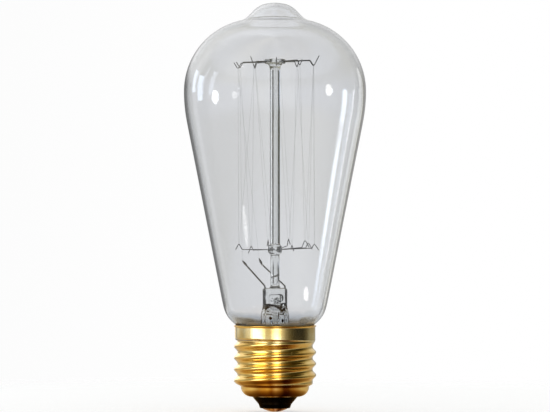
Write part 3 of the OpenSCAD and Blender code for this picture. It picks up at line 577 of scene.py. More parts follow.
CROWN_ARM = along((0, 0), NIPPLE_CROWN_R - NIPPLE_CORNER_R, 90 - NIPPLE_CROWN_ANGLE)
FLANK_HEAD_R = CROWN_ARM[0] + NIPPLE_CORNER_R * sind(NIPPLE_FLANK)
FLANK_HEAD_Z = FLANK_FOOT[1] + (FLANK_FOOT[0] - FLANK_HEAD_R) * tand(NIPPLE_FLANK)
CROWN_Z = FLANK_HEAD_Z - CROWN_ARM[1] - NIPPLE_CORNER_R * cosd(NIPPLE_FLANK)
CORNER_CENTRE = (CROWN_ARM[0], CROWN_Z + CROWN_ARM[1])


def glass_side(inset, step=1.5):
    """One side of the bulb from the neck's end to the crown, moved inwards by inset."""
    cone_rows = 24
    shoulder = arc(SHOULDER_CENTRE, SHOULDER_R - inset, step - SHOULDER_ANGLE, -CONE_ANGLE, step)
    waist = arc(WAIST_CENTRE, WAIST_R - inset, -CONE_ANGLE, 0, step / 2)
    cone = [tuple(mix(a, b, i / cone_rows) for a, b in zip(shoulder[-1], waist[0]))
            for i in range(1, cone_rows)]
    return ([(NECK_R - inset, NECK_BOTTOM)]
            + arc(FILLET_CENTRE, NECK_FILLET_R + inset, 180, 180 - SHOULDER_ANGLE, 5)
            + shoulder + cone + waist
            + arc(DOME_CENTRE, BULB_DOME_R - inset, step, DOME_ANGLE, step)
            + arc(FOOT_CENTRE, NIPPLE_FILLET_R + inset, DOME_ANGLE + 180, 270 - NIPPLE_FLANK, 10)
            + arc(CORNER_CENTRE, NIPPLE_CORNER_R - inset, 90 - NIPPLE_FLANK, 90 - NIPPLE_CROWN_ANGLE, 4)
            + arc((0, CROWN_Z), NIPPLE_CROWN_R - inset, 91 - NIPPLE_CROWN_ANGLE, 90, 2))


# Rows of the glass, and the heights between which it bends too little to need them all
ROW_H, GENTLE_FROM, GENTLE_TO = 0.25, 38, 100


def softened(points, reach):
    """Evens out a profile, as blown glass flows over a mould's corners.

    Each of its rows becomes the mean of those within reach. Every second one is kept then, and every
    fourth where the glass bends little.
    """
    fine = [points[0]]
    for a, b in zip(points, points[1:]):
        count = max(1, math.ceil(math.dist(a, b) / ROW_H))
        fine += [(mix(a[0], b[0], i / count), mix(a[1], b[1], i / count)) for i in range(1, count + 1)]
    kept = []
    for i in range(len(fine)):
        span = min(i, len(fine) - 1 - i, round(reach / ROW_H))
        part = fine[i - span:i + span + 1]
        height = sum(z for r, z in part) / len(part)
        if i % (4 if GENTLE_FROM < height < GENTLE_TO else 2) == 0 or i == len(fine) - 1:
            kept.append((sum(r for r, z in part) / len(part), height))
    return kept


def build_envelope():
    """The bulb: one wall, whose outside took the mould's shape and whose inside is softer."""
    inside_reach, outside_reach = 2.85, 2.3
    inside = softened([(max(r, 0), z) for r, z in glass_side(GLASS_WALL)], inside_reach)
    outside = softened([(max(r, 0), z) for r, z in glass_side(0)], outside_reach)
    bulb = lathe("blown_glass_bulb", outside + inside[::-1], BULB_GLASS, sides=192, sharp_degrees=50)
    place(bulb, "envelope_glass", "glass_envelope")


build_envelope()


# Stem
FLARE_RIM_H, FLARE_R, FLARE_WALL, FLARE_H, FLARE_ANGLE = 0.9, 4.5, 0.7, 12.6, 75.0
PRESS_W, PRESS_T, PRESS_H, PRESS_TAPER = 7.8, 3.6, 6.1, 2.8
PRESS_ROOF = 0.5
EXHAUST_R, EXHAUST_WALL, EXHAUST_LENGTH = 1.6, 0.6, 20.0
ROD_LOWER_R, ROD_UPPER_R = 1.4, 1.6
BEAD_RISE, BEAD_R, BEAD_H = 12.2, 2.25, 3.0
BUTTON_RISE, BUTTON_R, BUTTON_CROWN, BUTTON_NECK = 9.5, 3.35, 0.8, 2.0
FLARE_RIM_BOTTOM = NECK_BOTTOM - FLARE_RIM_H
FLARE_CURVE_R = (NECK_R - GLASS_WALL - FLARE_R) / (1 - cosd(FLARE_ANGLE))
FLARE_CENTRE = (FLARE_R + FLARE_CURVE_R, NECK_BOTTOM + FLARE_CURVE_R * sind(FLARE_ANGLE))
FLARE_TOP = FLARE_RIM_BOTTOM + FLARE_H
PRESS_BOTTOM = FLARE_TOP + PRESS_TAPER
PRESS_TOP = PRESS_BOTTOM + PRESS_H
POCKET_TOP = PRESS_BOTTOM - PRESS_ROOF
BEAD_Z = PRESS_TOP + BEAD_RISE
BUTTON_Z = WIDEST_Z + BUTTON_RISE
STEM_SIDES = 96


def press_section(z):
    """Half width, half depth and squareness of the stem's outside at a height."""
    edge_r = 0.7
    pinch = smoothstep(FLARE_TOP - 0.3, PRESS_BOTTOM + 0.4, z)
    below_edge = max(0.0, edge_r - (PRESS_TOP - z))
    shrink = edge_r - math.sqrt(edge_r ** 2 - below_edge ** 2)
    return (mix(FLARE_R, PRESS_W / 2, pinch) - shrink, mix(FLARE_R, PRESS_T / 2, pinch) - shrink,
            mix(2.0, 4.2, pinch))


def jaw_mark(x, z):
    """Depth of the hollow that the jaws leave between the two leads, on both wide faces."""
    depth = 0.34
    across = 1 - smoothstep(1.5, 2.35, abs(x))
    above_foot = smoothstep(PRESS_BOTTOM - 0.2, PRESS_BOTTOM + 0.6, z)
    below_head = 1 - smoothstep(PRESS_TOP - 2.1, PRESS_TOP - 1.6, z)
    return depth * across * above_foot * below_head


def pressed(x, y, z):
    """A point of the stem's outside with the jaws' hollow and the ripple of the soft glass."""
    y -= math.copysign(min(abs(y), jaw_mark(x, z)), y)
    smooth_z, rough_z = PRESS_BOTTOM - 0.2, PRESS_BOTTOM - 1.7
    ripple = (0.05 - 0.03 * smoothstep(smooth_z, rough_z, z)) * noise.noise(Vector((x, y, z)) * 0.9)
    return (x * (1 + ripple / 3), y * (1 + ripple), z)


def build_stem():
    """Up the outside, over the top, and down again through the bore."""
    tube = Rings(STEM_SIDES)

    def ring(half_w, half_t, squareness, z, soft=False):
        def point_at(azimuth):
            c, s = cosd(azimuth), sind(azimuth)
            x = half_w * math.copysign(abs(c) ** (2 / squareness), c)
            y = half_t * math.copysign(abs(s) ** (2 / squareness), s)
            return pressed(x, y, z) if soft else (x, y, z)
        tube.add_ring(point_at)

    # Outside: rim, flare, tube, pinch and press
    ring(NECK_R, NECK_R, 2, FLARE_RIM_BOTTOM)
    ring(NECK_R, NECK_R, 2, NECK_BOTTOM - GAP)
    for radius, z in arc(FLARE_CENTRE, FLARE_CURVE_R, 180 + FLARE_ANGLE, 180, 5):
        ring(radius, radius, 2, z if z > NECK_BOTTOM else z - GAP)
    rows = 64
    soft_from = FLARE_TOP - 2.5
    for i in range(1, rows + 1):
        z = mix(FLARE_CENTRE[1], PRESS_TOP, i / rows)
        ring(*press_section(z), z, soft=z > soft_from)
    tube.add_centre(PRESS_TOP)
    outside = len(tube.rings)
    # Inside: the roof of the bore, then down the tube and out along the flare
    tube.add_centre(POCKET_TOP)
    bore = FLARE_R - FLARE_WALL
    roof_rows = 10
    for i in range(roof_rows + 1):
        share = i / roof_rows
        half_w = mix(EXHAUST_R + 0.9, bore, math.sqrt(share) * 0.9 + share * 0.1)
        half_t = mix(EXHAUST_R * 0.75, bore, share ** 1.3)
        ring(half_w, half_t, 2, mix(POCKET_TOP, FLARE_TOP, share))
    inner_curve_r = FLARE_CURVE_R + FLARE_WALL
    for radius, z in arc(FLARE_CENTRE, inner_curve_r, 180, 180 + FLARE_ANGLE, 5):
        ring(radius, radius, 2, z)
    mouth_r = FLARE_CENTRE[0] - inner_curve_r * cosd(FLARE_ANGLE)
    ring(mouth_r, mouth_r, 2, FLARE_RIM_BOTTOM)
    faces = skin(tube.rings[:outside], closed=False)
    faces += skin(tube.rings[outside:] + [tube.rings[0]], closed=False)
    stem = mesh_object("pressed_glass_stem", tube.vertices, faces, STEM_GLASS, sharp_degrees=60)
    place(stem, "stem_glass", "stem_flare", "stem_press")


def build_exhaust():
    """The tube through which the bulb was emptied, with its melted tip."""
    tip = POCKET_TOP - EXHAUST_LENGTH
    bore = EXHAUST_R - EXHAUST_WALL
    outline = (arc((0, tip + EXHAUST_R), EXHAUST_R, -90, 0, 6)
               + [(EXHAUST_R, FLARE_TOP + 0.8), (bore, FLARE_TOP + 0.8)]
               + arc((0, tip + 2 * EXHAUST_R), bore, 0, -90, 6))
    outline = [(max(r, 0), z) for r, z in outline]
    place(lathe("tipped_exhaust_tube", outline, STEM_GLASS, sides=48), "stem_glass", "exhaust_tube")


def build_arbor():
    """Rod, melted bead and button, fused into one piece of glass."""
    foot_r, foot_h = 1.95, 0.75
    foot = [(0, PRESS_TOP - 0.12), (foot_r + 0.05, PRESS_TOP - 0.12), (foot_r, PRESS_TOP + GAP)]
    foot += [(mix(foot_r, ROD_LOWER_R, math.sqrt(t)), PRESS_TOP + GAP + foot_h * t)
             for t in (0.15, 0.35, 0.6, 1.0)]
    low, high = BEAD_Z - BEAD_H / 2, BEAD_Z + BEAD_H / 2
    bead = [(ROD_LOWER_R, low - 0.25), (ROD_LOWER_R + 0.15, low - 0.02), (ROD_LOWER_R + 0.5, low + 0.25),
            (BEAD_R - 0.12, low + 0.62), (BEAD_R, BEAD_Z - 0.3), (BEAD_R, BEAD_Z + 0.3),
            (BEAD_R - 0.12, high - 0.62), (ROD_UPPER_R + 0.38, high - 0.25),
            (ROD_UPPER_R + 0.1, high - 0.02), (ROD_UPPER_R, high + 0.25)]
    neck_z = BUTTON_Z - BUTTON_NECK
    rod_rows = 12
    rod = [(ROD_UPPER_R, mix(high + 1, neck_z - 1, i / rod_rows)) for i in range(rod_rows + 1)]
    edge_r = 0.42
    button = [(ROD_UPPER_R, neck_z - 0.3), (ROD_UPPER_R + 0.15, neck_z), (ROD_UPPER_R + 0.4, neck_z + 0.8),
              (BUTTON_R - 0.9, BUTTON_Z - 0.72)]
    button += arc((BUTTON_R - edge_r, BUTTON_Z - 0.28), edge_r, -70, 0, 12)
    button += arc((BUTTON_R - edge_r, BUTTON_Z + 0.3), edge_r, 0, 80, 12)
    button += [(BUTTON_R * 0.6, BUTTON_Z + BUTTON_CROWN - 0.03), (0, BUTTON_Z + BUTTON_CROWN)]
    arbor = lathe("glass_arbor", foot + bead + rod + button, STEM_GLASS, sharp_degrees=60)
    waver = 0.012
    for vertex in arbor.data.vertices:
        spot = vertex.co / MM
        if spot.xy.length > 0.01 and spot.z < neck_z:
            drift = 1 + waver * noise.noise(Vector((spot.x / 3, spot.y / 3, spot.z / 9)))
            vertex.co.x *= drift
            vertex.co.y *= drift
    place(arbor, "stem_glass", "centre_rod", "lower_bead", "upper_button")


def blobs(name, drops, material):
    """Closed, uneven drops as one piece: the middle of each, from the press's foot, and its half sizes."""
    foot = Vector((0, 0, PRESS_BOTTOM))
    work = bmesh.new()
    for seed, (middle, size) in enumerate(drops):
        made = bmesh.ops.create_icosphere(work, subdivisions=3, radius=1)
        for vertex in made["verts"]:
            n = vertex.co.normalized()
            swell = 1 + 0.3 * noise.noise(n * 1.3 + Vector((seed, 2 * seed, 5)))
            vertex.co = (foot + Vector(middle) + Vector([n[k] * size[k] * swell for k in range(3)])) * MM
    return dress(worked_object(name, work), material, sharp_degrees=180)


def build_press_flaws():
    """Seeds that the pinch closed in the press, and painted shade: matt black drops for the dark folds at
    its foot and round them.
    """
    # The seeds lie in an oval cluster, each a golden turn on from the last
    seeds, seed_count = [], 22
    middle, half_sizes = (0.7, -0.5, 1.8), (1.45, 0.5, 1.15)
    for i in range(seed_count):
        turn, reach = 2.4 * i, math.sqrt((i + 0.5) / seed_count)
        way = (reach * math.cos(turn), math.sin(3.3 * i), reach * math.sin(turn))
        size = 0.2 + 0.16 * (1 + math.sin(5.1 * i)) / 2
        seeds.append(([middle[k] + half_sizes[k] * way[k] for k in range(3)], (size, size * 0.8, size)))
    place(blobs("press_seeds", seeds, STEM_GLASS), "stem_glass")
    # Painted shade drops: left foot, then along the hollow's lower edge, the right foot, drops below them,
    # and round the seeds
    folds = [((-2.55, -2.2, 0.45), (0.7, 0.55, 0.6)), ((-2.8, -2.45, -0.4), (0.42, 0.5, 0.7)),
             ((-2.4, -2.35, -0.1), (0.6, 0.5, 0.5)), ((-1.85, -2.1, 0.55), (0.75, 0.5, 0.5)),
             ((-0.75, -1.95, 0.6), (0.55, 0.45, 0.3)), ((-0.1, -1.95, 0.4), (0.55, 0.45, 0.36)),
             ((0.5, -2.0, 0.1), (0.55, 0.45, 0.42)), ((1.05, -2.2, -0.25), (0.55, 0.5, 0.45)),
             ((1.55, -2.3, -0.45), (0.48, 0.5, 0.45)), ((1.95, -2.15, 0.05), (0.42, 0.5, 0.5)),
             ((2.15, -2.0, 0.8), (0.34, 0.4, 0.45)), ((2.6, -1.95, 1.15), (0.5, 0.4, 0.22)),
             ((3.05, -1.85, 0.8), (0.25, 0.4, 0.5)), ((2.85, -2.5, -0.7), (0.4, 0.5, 0.55)),
             ((2.4, -2.9, -1.15), (0.42, 0.4, 0.25)), ((-2.2, -3.05, -1.35), (0.4, 0.35, 0.22)),
             ((-1.45, -4.45, -3.6), (0.5, 0.45, 0.5)), ((2.4, -3.95, -4.3), (0.34, 0.3, 0.4)),
             ((2.65, -3.4, -2.2), (0.22, 0.25, 0.45)), ((1.1, -4.25, -2.7), (0.15, 0.2, 1.2)),
             ((0.35, -1.5, 2.6), (0.28, 0.3, 0.26)), ((-0.8, -1.5, 2.8), (0.16, 0.22, 0.15)),
             ((-1.15, -1.5, 2), (0.11, 0.22, 0.25)), ((1.0, -1.5, 2), (0.3, 0.3, 0.22)),
             ((1.6, -1.5, 1.9), (0.22, 0.25, 0.32)), ((0.3, -1.5, 1.7), (0.17, 0.22, 0.22)),
             ((0.8, -1.5, 1.4), (0.27, 0.25, 0.17)), ((1.5, -1.5, 4.05), (0.5, 0.25, 0.14)),
             ((2.05, -1.5, 3.85), (0.3, 0.25, 0.25)), ((2.3, -1.55, 3.2), (0.22, 0.25, 0.5)),
             ((2.4, -1.6, 2.5), (0.15, 0.22, 0.5))]
    place(blobs("press_fold_painted_shade", folds, PAINTED_FOLD_SHADE), "stem_glass")


build_stem()
build_exhaust()
build_arbor()
build_press_flaws()


# Wires
SUPPORT_D, CAGE_R, HOOK_ANGLE, HOOK_BEND_R = 0.26, 12.6, 59.0, 0.35
VALLEY_DEPTH, PEAK_HEIGHT, LOWER_TAIL, UPPER_SEAT = 1.6, 1.9, 2.2, 1.3
UPPER_TILT, UPPER_LEAN = 2.4, 3.0
UPPER_COUNT, LOWER_COUNT = 10, 9
HOOK_SPACING = 360 / UPPER_COUNT
# The hooks were bent and set by eye: azimuth, length and slope differ from one to the next
UPPER_ERROR = [-4, 2, -7, -5, -1, 10, 5, 2, 2, 4]
LOWER_ERROR = [-5, -8, -14, 13, 18, 8, 2, -5, -4]
UPPER_TAIL = [3.5, 1.8, 1.5, 1.6, 2, 1.8, 3.5, 2.7, 1.8, 1.6]
PEAK_ERROR = [-0.5, -0.8, -0.3, -0.3, -0.7, 0.2, 0, 0.1, -0.8]
TAIL_ERROR = [-0.1, -0.3, -0.2, -0.5, 0.1, -0.3, -0.3, 0.1, -0.3]
LOWER_SLOPE = [3, 1, 1, 0, -1, 4, 7, 4, 2.5]
FILAMENT_D, INNER_LEAD_D, LEAD_X, LEAD_RISE = 0.14, 0.5, 3.2, 0.6
WIRE_SIDES, COIL_SIDES, BEND_STEPS = 10, 3, 6
CLAMP_NEAR = Vector((-8.9, -2.1, PRESS_TOP + 7))
CLAMP_FAR = Vector((-4.2, 6.0, PRESS_TOP + 7.4))
NEAR_CLAMP_ANGLE, FAR_CLAMP_ANGLE = 49, 59
LEAD_RUN, CLAMP_GRIP, CLAMP_BARREL, CLAMP_LENGTH, CLAMP_WALL = 0.4, 0.5, 1.0, 1.8, 0.12
UPPER_ROOT = BUTTON_R - UPPER_SEAT
LOWER_ROOT = ROD_UPPER_R + 2 * GAP


def upper_azimuth(i):
    return HOOK_SPACING * (i - 0.5) + UPPER_ERROR[i - 1]


def lower_azimuth(i):
    """These stand between the upper ones, except at -X, where the filament starts and ends."""
    return HOOK_SPACING * (i if i < UPPER_COUNT / 2 else i + 1) + LOWER_ERROR[i - 1]


def outward(azimuth):
    """Away from the axis."""
    return Vector((cosd(azimuth), sind(azimuth), 0))


def onward(azimuth):
    """Round the axis, towards greater azimuths."""
    return Vector((-sind(azimuth), cosd(azimuth), 0))


def support_point(azimuth, pitch, root, root_z, run, drop):
    """A point of a support, by the run along its wire and the drop below it."""
    return (outward(azimuth) * (root + run * cosd(pitch) + drop * sind(pitch))
            + Vector((0, 0, root_z + run * sind(pitch) - drop * cosd(pitch))))


def upper_point(i, run, drop):
    azimuth = upper_azimuth(i)
    pitch = UPPER_TILT * cosd(azimuth) + UPPER_LEAN * sind(azimuth)
    return support_point(azimuth, pitch, UPPER_ROOT, BUTTON_Z, run, drop)


def lower_point(i, run, drop):
    return support_point(lower_azimuth(i), LOWER_SLOPE[i - 1], LOWER_ROOT, BEAD_Z, run, drop)


def lower_peak_height(i):
    return PEAK_HEIGHT + PEAK_ERROR[i - 1]


def hook(root, depth, tail):
    """Run and drop of a hook's corners; its turn lies on the cage circle."""
    turn = CAGE_R - root
    tip = depth + HOOK_BEND_R * (1 / cosd(HOOK_ANGLE) - 1)
    end = tail + HOOK_BEND_R * tand(HOOK_ANGLE)
    return [(0, 0), (turn - tip / tand(HOOK_ANGLE), 0), (turn, tip),
            (turn + end * cosd(HOOK_ANGLE), tip - end * sind(HOOK_ANGLE))]


def new_tree(name, **inputs):
    """A Geometry Nodes tree with named inputs of the given kinds, and the sockets that they give."""
    tree = bpy.data.node_groups.new(name, "GeometryNodeTree")
    for label, kind in {"Geometry": "Geometry", **inputs, "Material": "Material"}.items():
        tree.interface.new_socket(label, in_out="INPUT", socket_type="NodeSocket" + kind)
    tree.interface.new_socket("Geometry", in_out="OUTPUT", socket_type="NodeSocketGeometry")
    return tree, add(tree, "NodeGroupInput").outputs


def sweep(tree, path, section_sides, given):
    """Ends a tree: a round wire along the path, as one real mesh with its material."""
    section = add(tree, "GeometryNodeCurvePrimitiveCircle",
                  {"Resolution": section_sides, "Radius": given["Wire radius"]})
    swept = add(tree, "GeometryNodeCurveToMesh",
                {"Curve": path, "Profile Curve": section, "Fill Caps": True})
    smooth = add(tree, "GeometryNodeSetShadeSmooth", {"Geometry": swept})
    real = add(tree, "GeometryNodeRealizeInstances", {"Geometry": smooth})
    painted = add(tree, "GeometryNodeSetMaterial", {"Geometry": real, "Material": given["Material"]})
    add(tree, "NodeGroupOutput", {"Geometry": painted})
    return tree


def wire_tree():
    """Bends the corners of each path to one radius and sweeps a round wire along it."""
    tree, given = new_tree("drawn_wire", **{"Wire radius": "Float", "Bend radius": "Float"})
    bent = add(tree, "GeometryNodeFilletCurve",
               {"Curve": given["Geometry"], "Radius": given["Bend radius"], "Count": BEND_STEPS,
                "Limit Radius": True}, mode="POLY")
    return sweep(tree, bent, WIRE_SIDES, given)


def coil_tree():
    """Winds a fine wire round each path as a close helix of even pitch."""
    tree, given = new_tree("wound_coil", **{"Coil radius": "Float", "Wire radius": "Float",
                                            "Pitch": "Float", "Steps": "Int"})
    step = add(tree, "ShaderNodeMath", {0: given["Pitch"], 1: given["Steps"]}, operation="DIVIDE")
    even = add(tree, "GeometryNodeResampleCurve", {"Curve": given["Geometry"], "Length": step},
               mode="LENGTH")
    index = add(tree, "GeometryNodeInputIndex")
    turns = add(tree, "ShaderNodeMath", {0: index, 1: given["Steps"]}, operation="DIVIDE")
    angle = add(tree, "ShaderNodeMath", {0: turns, 1: 2 * math.pi}, operation="MULTIPLY")
    normal = add(tree, "GeometryNodeInputNormal")
    tangent = add(tree, "GeometryNodeInputTangent")
    side = add(tree, "ShaderNodeVectorMath", {0: tangent, 1: normal}, operation="CROSS_PRODUCT")
    parts = []
    for direction, function in ((normal, "COSINE"), (side, "SINE")):
        wave = add(tree, "ShaderNodeMath", {0: angle}, operation=function)
        reach = add(tree, "ShaderNodeMath", {0: wave, 1: given["Coil radius"]}, operation="MULTIPLY")
        parts.append(add(tree, "ShaderNodeVectorMath", {0: direction, "Scale": reach}, operation="SCALE"))
    offset = add(tree, "ShaderNodeVectorMath", {0: parts[0], 1: parts[1]}, operation="ADD")
    wound = add(tree, "GeometryNodeSetPosition", {"Geometry": even, "Offset": offset})
    return sweep(tree, wound, COIL_SIDES, given)


def grow(name, paths, tree, inputs):
    """Runs a tree on a set of paths in millimetres and returns the plain mesh that it makes."""
    curve = bpy.data.curves.new(name + "_paths", "CURVE")
    curve.dimensions = "3D"
    for path in paths:
        spline = curve.splines.new("POLY")
        spline.points.add(len(path) - 1)
        for point, spot in zip(spline.points, path):
            point.co = (*(Vector(spot) * MM), 1)
    guide = show(bpy.data.objects.new(name + "_paths", curve))
    modifier = guide.modifiers.new("grow", "NODES")
    modifier.node_group = tree
    ids = {item.name: item.identifier for item in tree.interface.items_tree
           if item.item_type == "SOCKET" and item.in_out == "INPUT"}
    for label, value in inputs.items():
        modifier[ids[label]] = value
    bpy.context.view_layer.update()
    solved = guide.evaluated_get(bpy.context.evaluated_depsgraph_get())
    mesh = bpy.data.meshes.new_from_object(solved)
    bpy.data.objects.remove(guide)
    piece = bpy.data.objects.new(name, mesh)
    return dress(piece, inputs["Material"], sharp_degrees=50)


DRAWN_WIRE = wire_tree()
WOUND_COIL = coil_tree()


def wires(name, paths, diameter, bend_r, material):
    """Plain round wires along paths, as one piece."""
    return grow(name, paths, DRAWN_WIRE, {"Wire radius": diameter / 2 * MM, "Bend radius": bend_r * MM,
                                          "Material": material})


def build_press_line():
    """Painted shade: the step that the jaws left inside the press, drawn as one matt black line."""
    depth, width, bend_r = 0.8, 0.22, 0.4
    step = [(x, -depth, PRESS_TOP - below)
            for x, below in ((-1.9, 2.2), (0.2, 2.1), (2.0, 2.1), (2.55, 2.7), (2.5, 3.9))]
    place(wires("press_step_painted_shade", [step], width, bend_r, PAINTED_FOLD_SHADE), "stem_glass")


def build_supports():
    """The button's hooks with their valleys, and the bead's with their peaks."""
    upper = [[upper_point(i, run, drop) for run, drop in hook(UPPER_ROOT, VALLEY_DEPTH, UPPER_TAIL[i - 1])]
             for i in range(1, UPPER_COUNT + 1)]
    lower = [[lower_point(i, run, -drop)
              for run, drop in hook(LOWER_ROOT, lower_peak_height(i), LOWER_TAIL + TAIL_ERROR[i - 1])]
             for i in range(1, LOWER_COUNT + 1)]
    place(wires("upper_hooks", upper, SUPPORT_D, HOOK_BEND_R, SUPPORT_WIRE), "support_wire",
          *["upper_support_%d" % i for i in range(1, UPPER_COUNT + 1)])
    place(wires("lower_hooks", lower, SUPPORT_D, HOOK_BEND_R, SUPPORT_WIRE), "support_wire",
          *["lower_support_%d" % i for i in range(1, LOWER_COUNT + 1)])


# The filament runs over the upper hooks' valleys and under the lower hooks' peaks
TURN_R = (SUPPORT_D + FILAMENT_D) / 2 + GAP


def half_turn(centre, azimuth, up, steps=10):
    """The filament's way round a hook's wire, over it (up is 1) or under it (up is -1)."""
    return [centre + TURN_R * (-cosd(180 * k / steps) * onward(azimuth)
                               + Vector((0, 0, up * sind(180 * k / steps)))) for k in range(steps + 1)]


def upper_turn(n):
    """The turn over the n-th upper hook, in the order in which the filament was strung."""
    i = (UPPER_COUNT // 2 + n) % UPPER_COUNT + 1
    return half_turn(upper_point(i, CAGE_R - UPPER_ROOT, VALLEY_DEPTH), upper_azimuth(i), 1)


def lower_turn(n):
    """The turn under the lower hook that comes after the n-th upper one."""
    i = (UPPER_COUNT // 2 - 1 + n) % LOWER_COUNT + 1
    return half_turn(lower_point(i, CAGE_R - LOWER_ROOT, -lower_peak_height(i)), lower_azimuth(i), -1)


def clamp_aim(side, corner, slope):
    """A clamp points onward from its lead, at its own slope."""
    across = Vector((corner.x - side * LEAD_X, corner.y, 0)).normalized()
    return across * cosd(slope) + Vector((0, 0, sind(slope)))


NEAR_AIM = clamp_aim(-1, CLAMP_NEAR, NEAR_CLAMP_ANGLE)
FAR_AIM = clamp_aim(1, CLAMP_FAR, FAR_CLAMP_ANGLE)
# The real coil is finer than the picture can hold, so its pitch is drawn coarse enough to show
COIL_PITCH, COIL_WIRE_D, COIL_STEPS = 0.3, 0.045, 6


def build_filament():
    """From the near clamp over and under all hooks in turn to the far clamp, as one coil."""
    start = LEAD_RUN + CLAMP_GRIP + GAP
    bend = LEAD_RUN + CLAMP_LENGTH + FILAMENT_D
    path = [CLAMP_NEAR + start * NEAR_AIM, CLAMP_NEAR + bend * NEAR_AIM]
    for n in range(UPPER_COUNT):
        path += upper_turn(n)
        if n < UPPER_COUNT - 1:
            path += lower_turn(n)
    path += [CLAMP_FAR + bend * FAR_AIM, CLAMP_FAR + start * FAR_AIM]
    coil = grow("tungsten_filament", [path], WOUND_COIL,
                {"Coil radius": (FILAMENT_D - COIL_WIRE_D) / 2 * MM, "Wire radius": COIL_WIRE_D / 2 * MM,
                 "Pitch": COIL_PITCH * MM, "Steps": COIL_STEPS, "Material": TUNGSTEN})
    place(coil, "tungsten", "filament")


def build_leads():
    """Up out of the press, over to the clamp, and a short way into it."""
    seat, bend_r = 0.8, 1
    for name, node, side, corner, aim in (
            ("nickel_lead_near", "inner_lead_near", -1, CLAMP_NEAR, NEAR_AIM),
            ("nickel_lead_far", "inner_lead_far", 1, CLAMP_FAR, FAR_AIM)):
        path = [(side * LEAD_X, 0, PRESS_TOP - seat), (side * LEAD_X, 0, PRESS_TOP + LEAD_RISE),
                corner, corner + (LEAD_RUN + CLAMP_GRIP) * aim]
        place(wires(name, [path], INNER_LEAD_D, bend_r, NICKEL), "nickel", node)


def build_clamp(name, node, corner, aim):
    """A sleeve of sheet nickel: a barrel that two bites of the pliers flattened, and a narrow nose."""
    bites, bite_depth, bite_half_w = (0.3, 0.72), 0.06, 0.12
    bore = INNER_LEAD_D / 2 + GAP
    eye = FILAMENT_D / 2 + GAP
    across = aim.cross(Vector((0, 0, 1))).normalized()
    away = aim.cross(across)
    sides, rows = 28, 36
    sleeve = Rings(sides)

    def ring(way, wide, thick):
        centre = corner + (LEAD_RUN + way) * aim
        sleeve.add_ring(lambda turn: tuple(centre + wide * cosd(turn) * across
                                           + thick * sind(turn) * away))

    ring(GAP, bore, bore)
    for i in range(rows + 1):
        way = CLAMP_LENGTH * i / rows
        bite = bite_depth * sum(math.exp(-((way - middle) / bite_half_w) ** 2) for middle in bites)
        nose = smoothstep(CLAMP_BARREL - 0.05, CLAMP_BARREL + 0.45, way)
        lip = 0.04 * (1 - smoothstep(0, 0.1, way) + smoothstep(CLAMP_LENGTH - 0.1, CLAMP_LENGTH, way))
        ring(way, mix(bore, eye + 0.04, nose) + CLAMP_WALL - lip,
             mix(bore, eye, nose) + CLAMP_WALL - bite - lip)
    ring(CLAMP_LENGTH - GAP, eye, eye)
    ring(CLAMP_GRIP + 3 * GAP, eye, eye)
    ring(CLAMP_GRIP + GAP, bore, bore)
    place(mesh_object(name, sleeve.vertices, skin(sleeve.rings), NICKEL_SHEET, sharp_degrees=50), "nickel",
          node)


build_press_line()
build_supports()
build_filament()
build_leads()
build_clamp("crimp_near", "filament_clamp_near", CLAMP_NEAR, NEAR_AIM)
build_clamp("crimp_far", "filament_clamp_far", CLAMP_FAR, FAR_AIM)


def build_rim_solder():
    """A drop of solder that has run into the corner between rim and glass, at the back."""
    low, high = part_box("rim_solder")
    centre, size = (low + high) / 2 / MM, (high - low) / MM
    work = bmesh.new()
    bmesh.ops.create_icosphere(work, subdivisions=4, radius=1)
    for vertex in work.verts:
        n = vertex.co.normalized()
        swell = 1 - 0.12 * max(0, noise.noise(n * 1.7 + Vector((3, 1, 2))))
        flat = Vector((n.x * size.x, n.y * size.y * 0.96, n.z * size.z)) / 2 * swell
        vertex.co = (centre + flat) * MM
    place(dress(worked_object("rim_solder_drop", work), SOLDER, sharp_degrees=60), "solder", "rim_solder")


build_rim_solder()

# The hidden pieces keep their solids and take the finish of the real ones
for node, material in (("basing_cement", CEMENT), ("side_lead", COPPER), ("centre_lead", COPPER),
                       ("seal_wire_near", SEAL_WIRE), ("seal_wire_far", SEAL_WIRE)):
    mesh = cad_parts[node].data
    mesh.materials.clear()
    mesh.materials.append(material)


# Studio
def turn_share(tree, axes):
    """How far round a direction lies, 0 to 1: 0.5 towards the camera, 0.75 towards +X."""
    front = add(tree, "ShaderNodeMath", {0: axes["Y"], 1: -1}, operation="MULTIPLY")
    turn = add(tree, "ShaderNodeMath", {0: axes["X"], 1: front}, operation="ARCTAN2")
    return add(tree, "ShaderNodeMapRange", stretch(turn, -math.pi, math.pi, 0, 1))


def round_stops(levels):
    """Stops of a ramp over turn_share, from colours by their azimuth in degrees."""
    return [((azimuth + 180) / 360, colour) for azimuth, colour in levels]


FLOOR_R, FADE_FROM, FADE_TO, FLOOR_DROP = 0.26, 0.14, 0.25, 0.0002
FLOOR_COLOUR, FLOOR_GLOW = "EBEBE9", 0.5
# Painted reflection of the table that mirrors see, by degrees round it from the camera towards +X, with
# painted shade to the right
PAINTED_TABLE_STRIPES = [(-180, "D8D0C0"), (-75, "E4D8C0"), (-50, "B89C70"), (-35, "D0AC68"), (-22, "E0C480"),
                 (-10, "A87830"), (2, "D8C4B0"), (14, "A88858"), (25, "542C10"), (38, "583414"),
                 (55, "98784C"), (90, "C8C0B0"), (180, "D8D0C0")]
# And by its distance from the lamp's axis in metres, with a painted shadow round the cap; the last colour
# goes on outwards
PAINTED_TABLE_RINGS = [(0, "F4E0CC"), (0.0044, "F4E0CC"), (0.0068, "482C0C"), (0.012, "7C5828"),
               (0.0192, "C4A474"), (0.028, "FFF0D8"), (0.04, "FFF8EC")]
# Between these distances the painted reflection turns into the plain table
PAINTED_REFLECTION_FROM, PAINTED_REFLECTION_TO = 0.05, 0.1


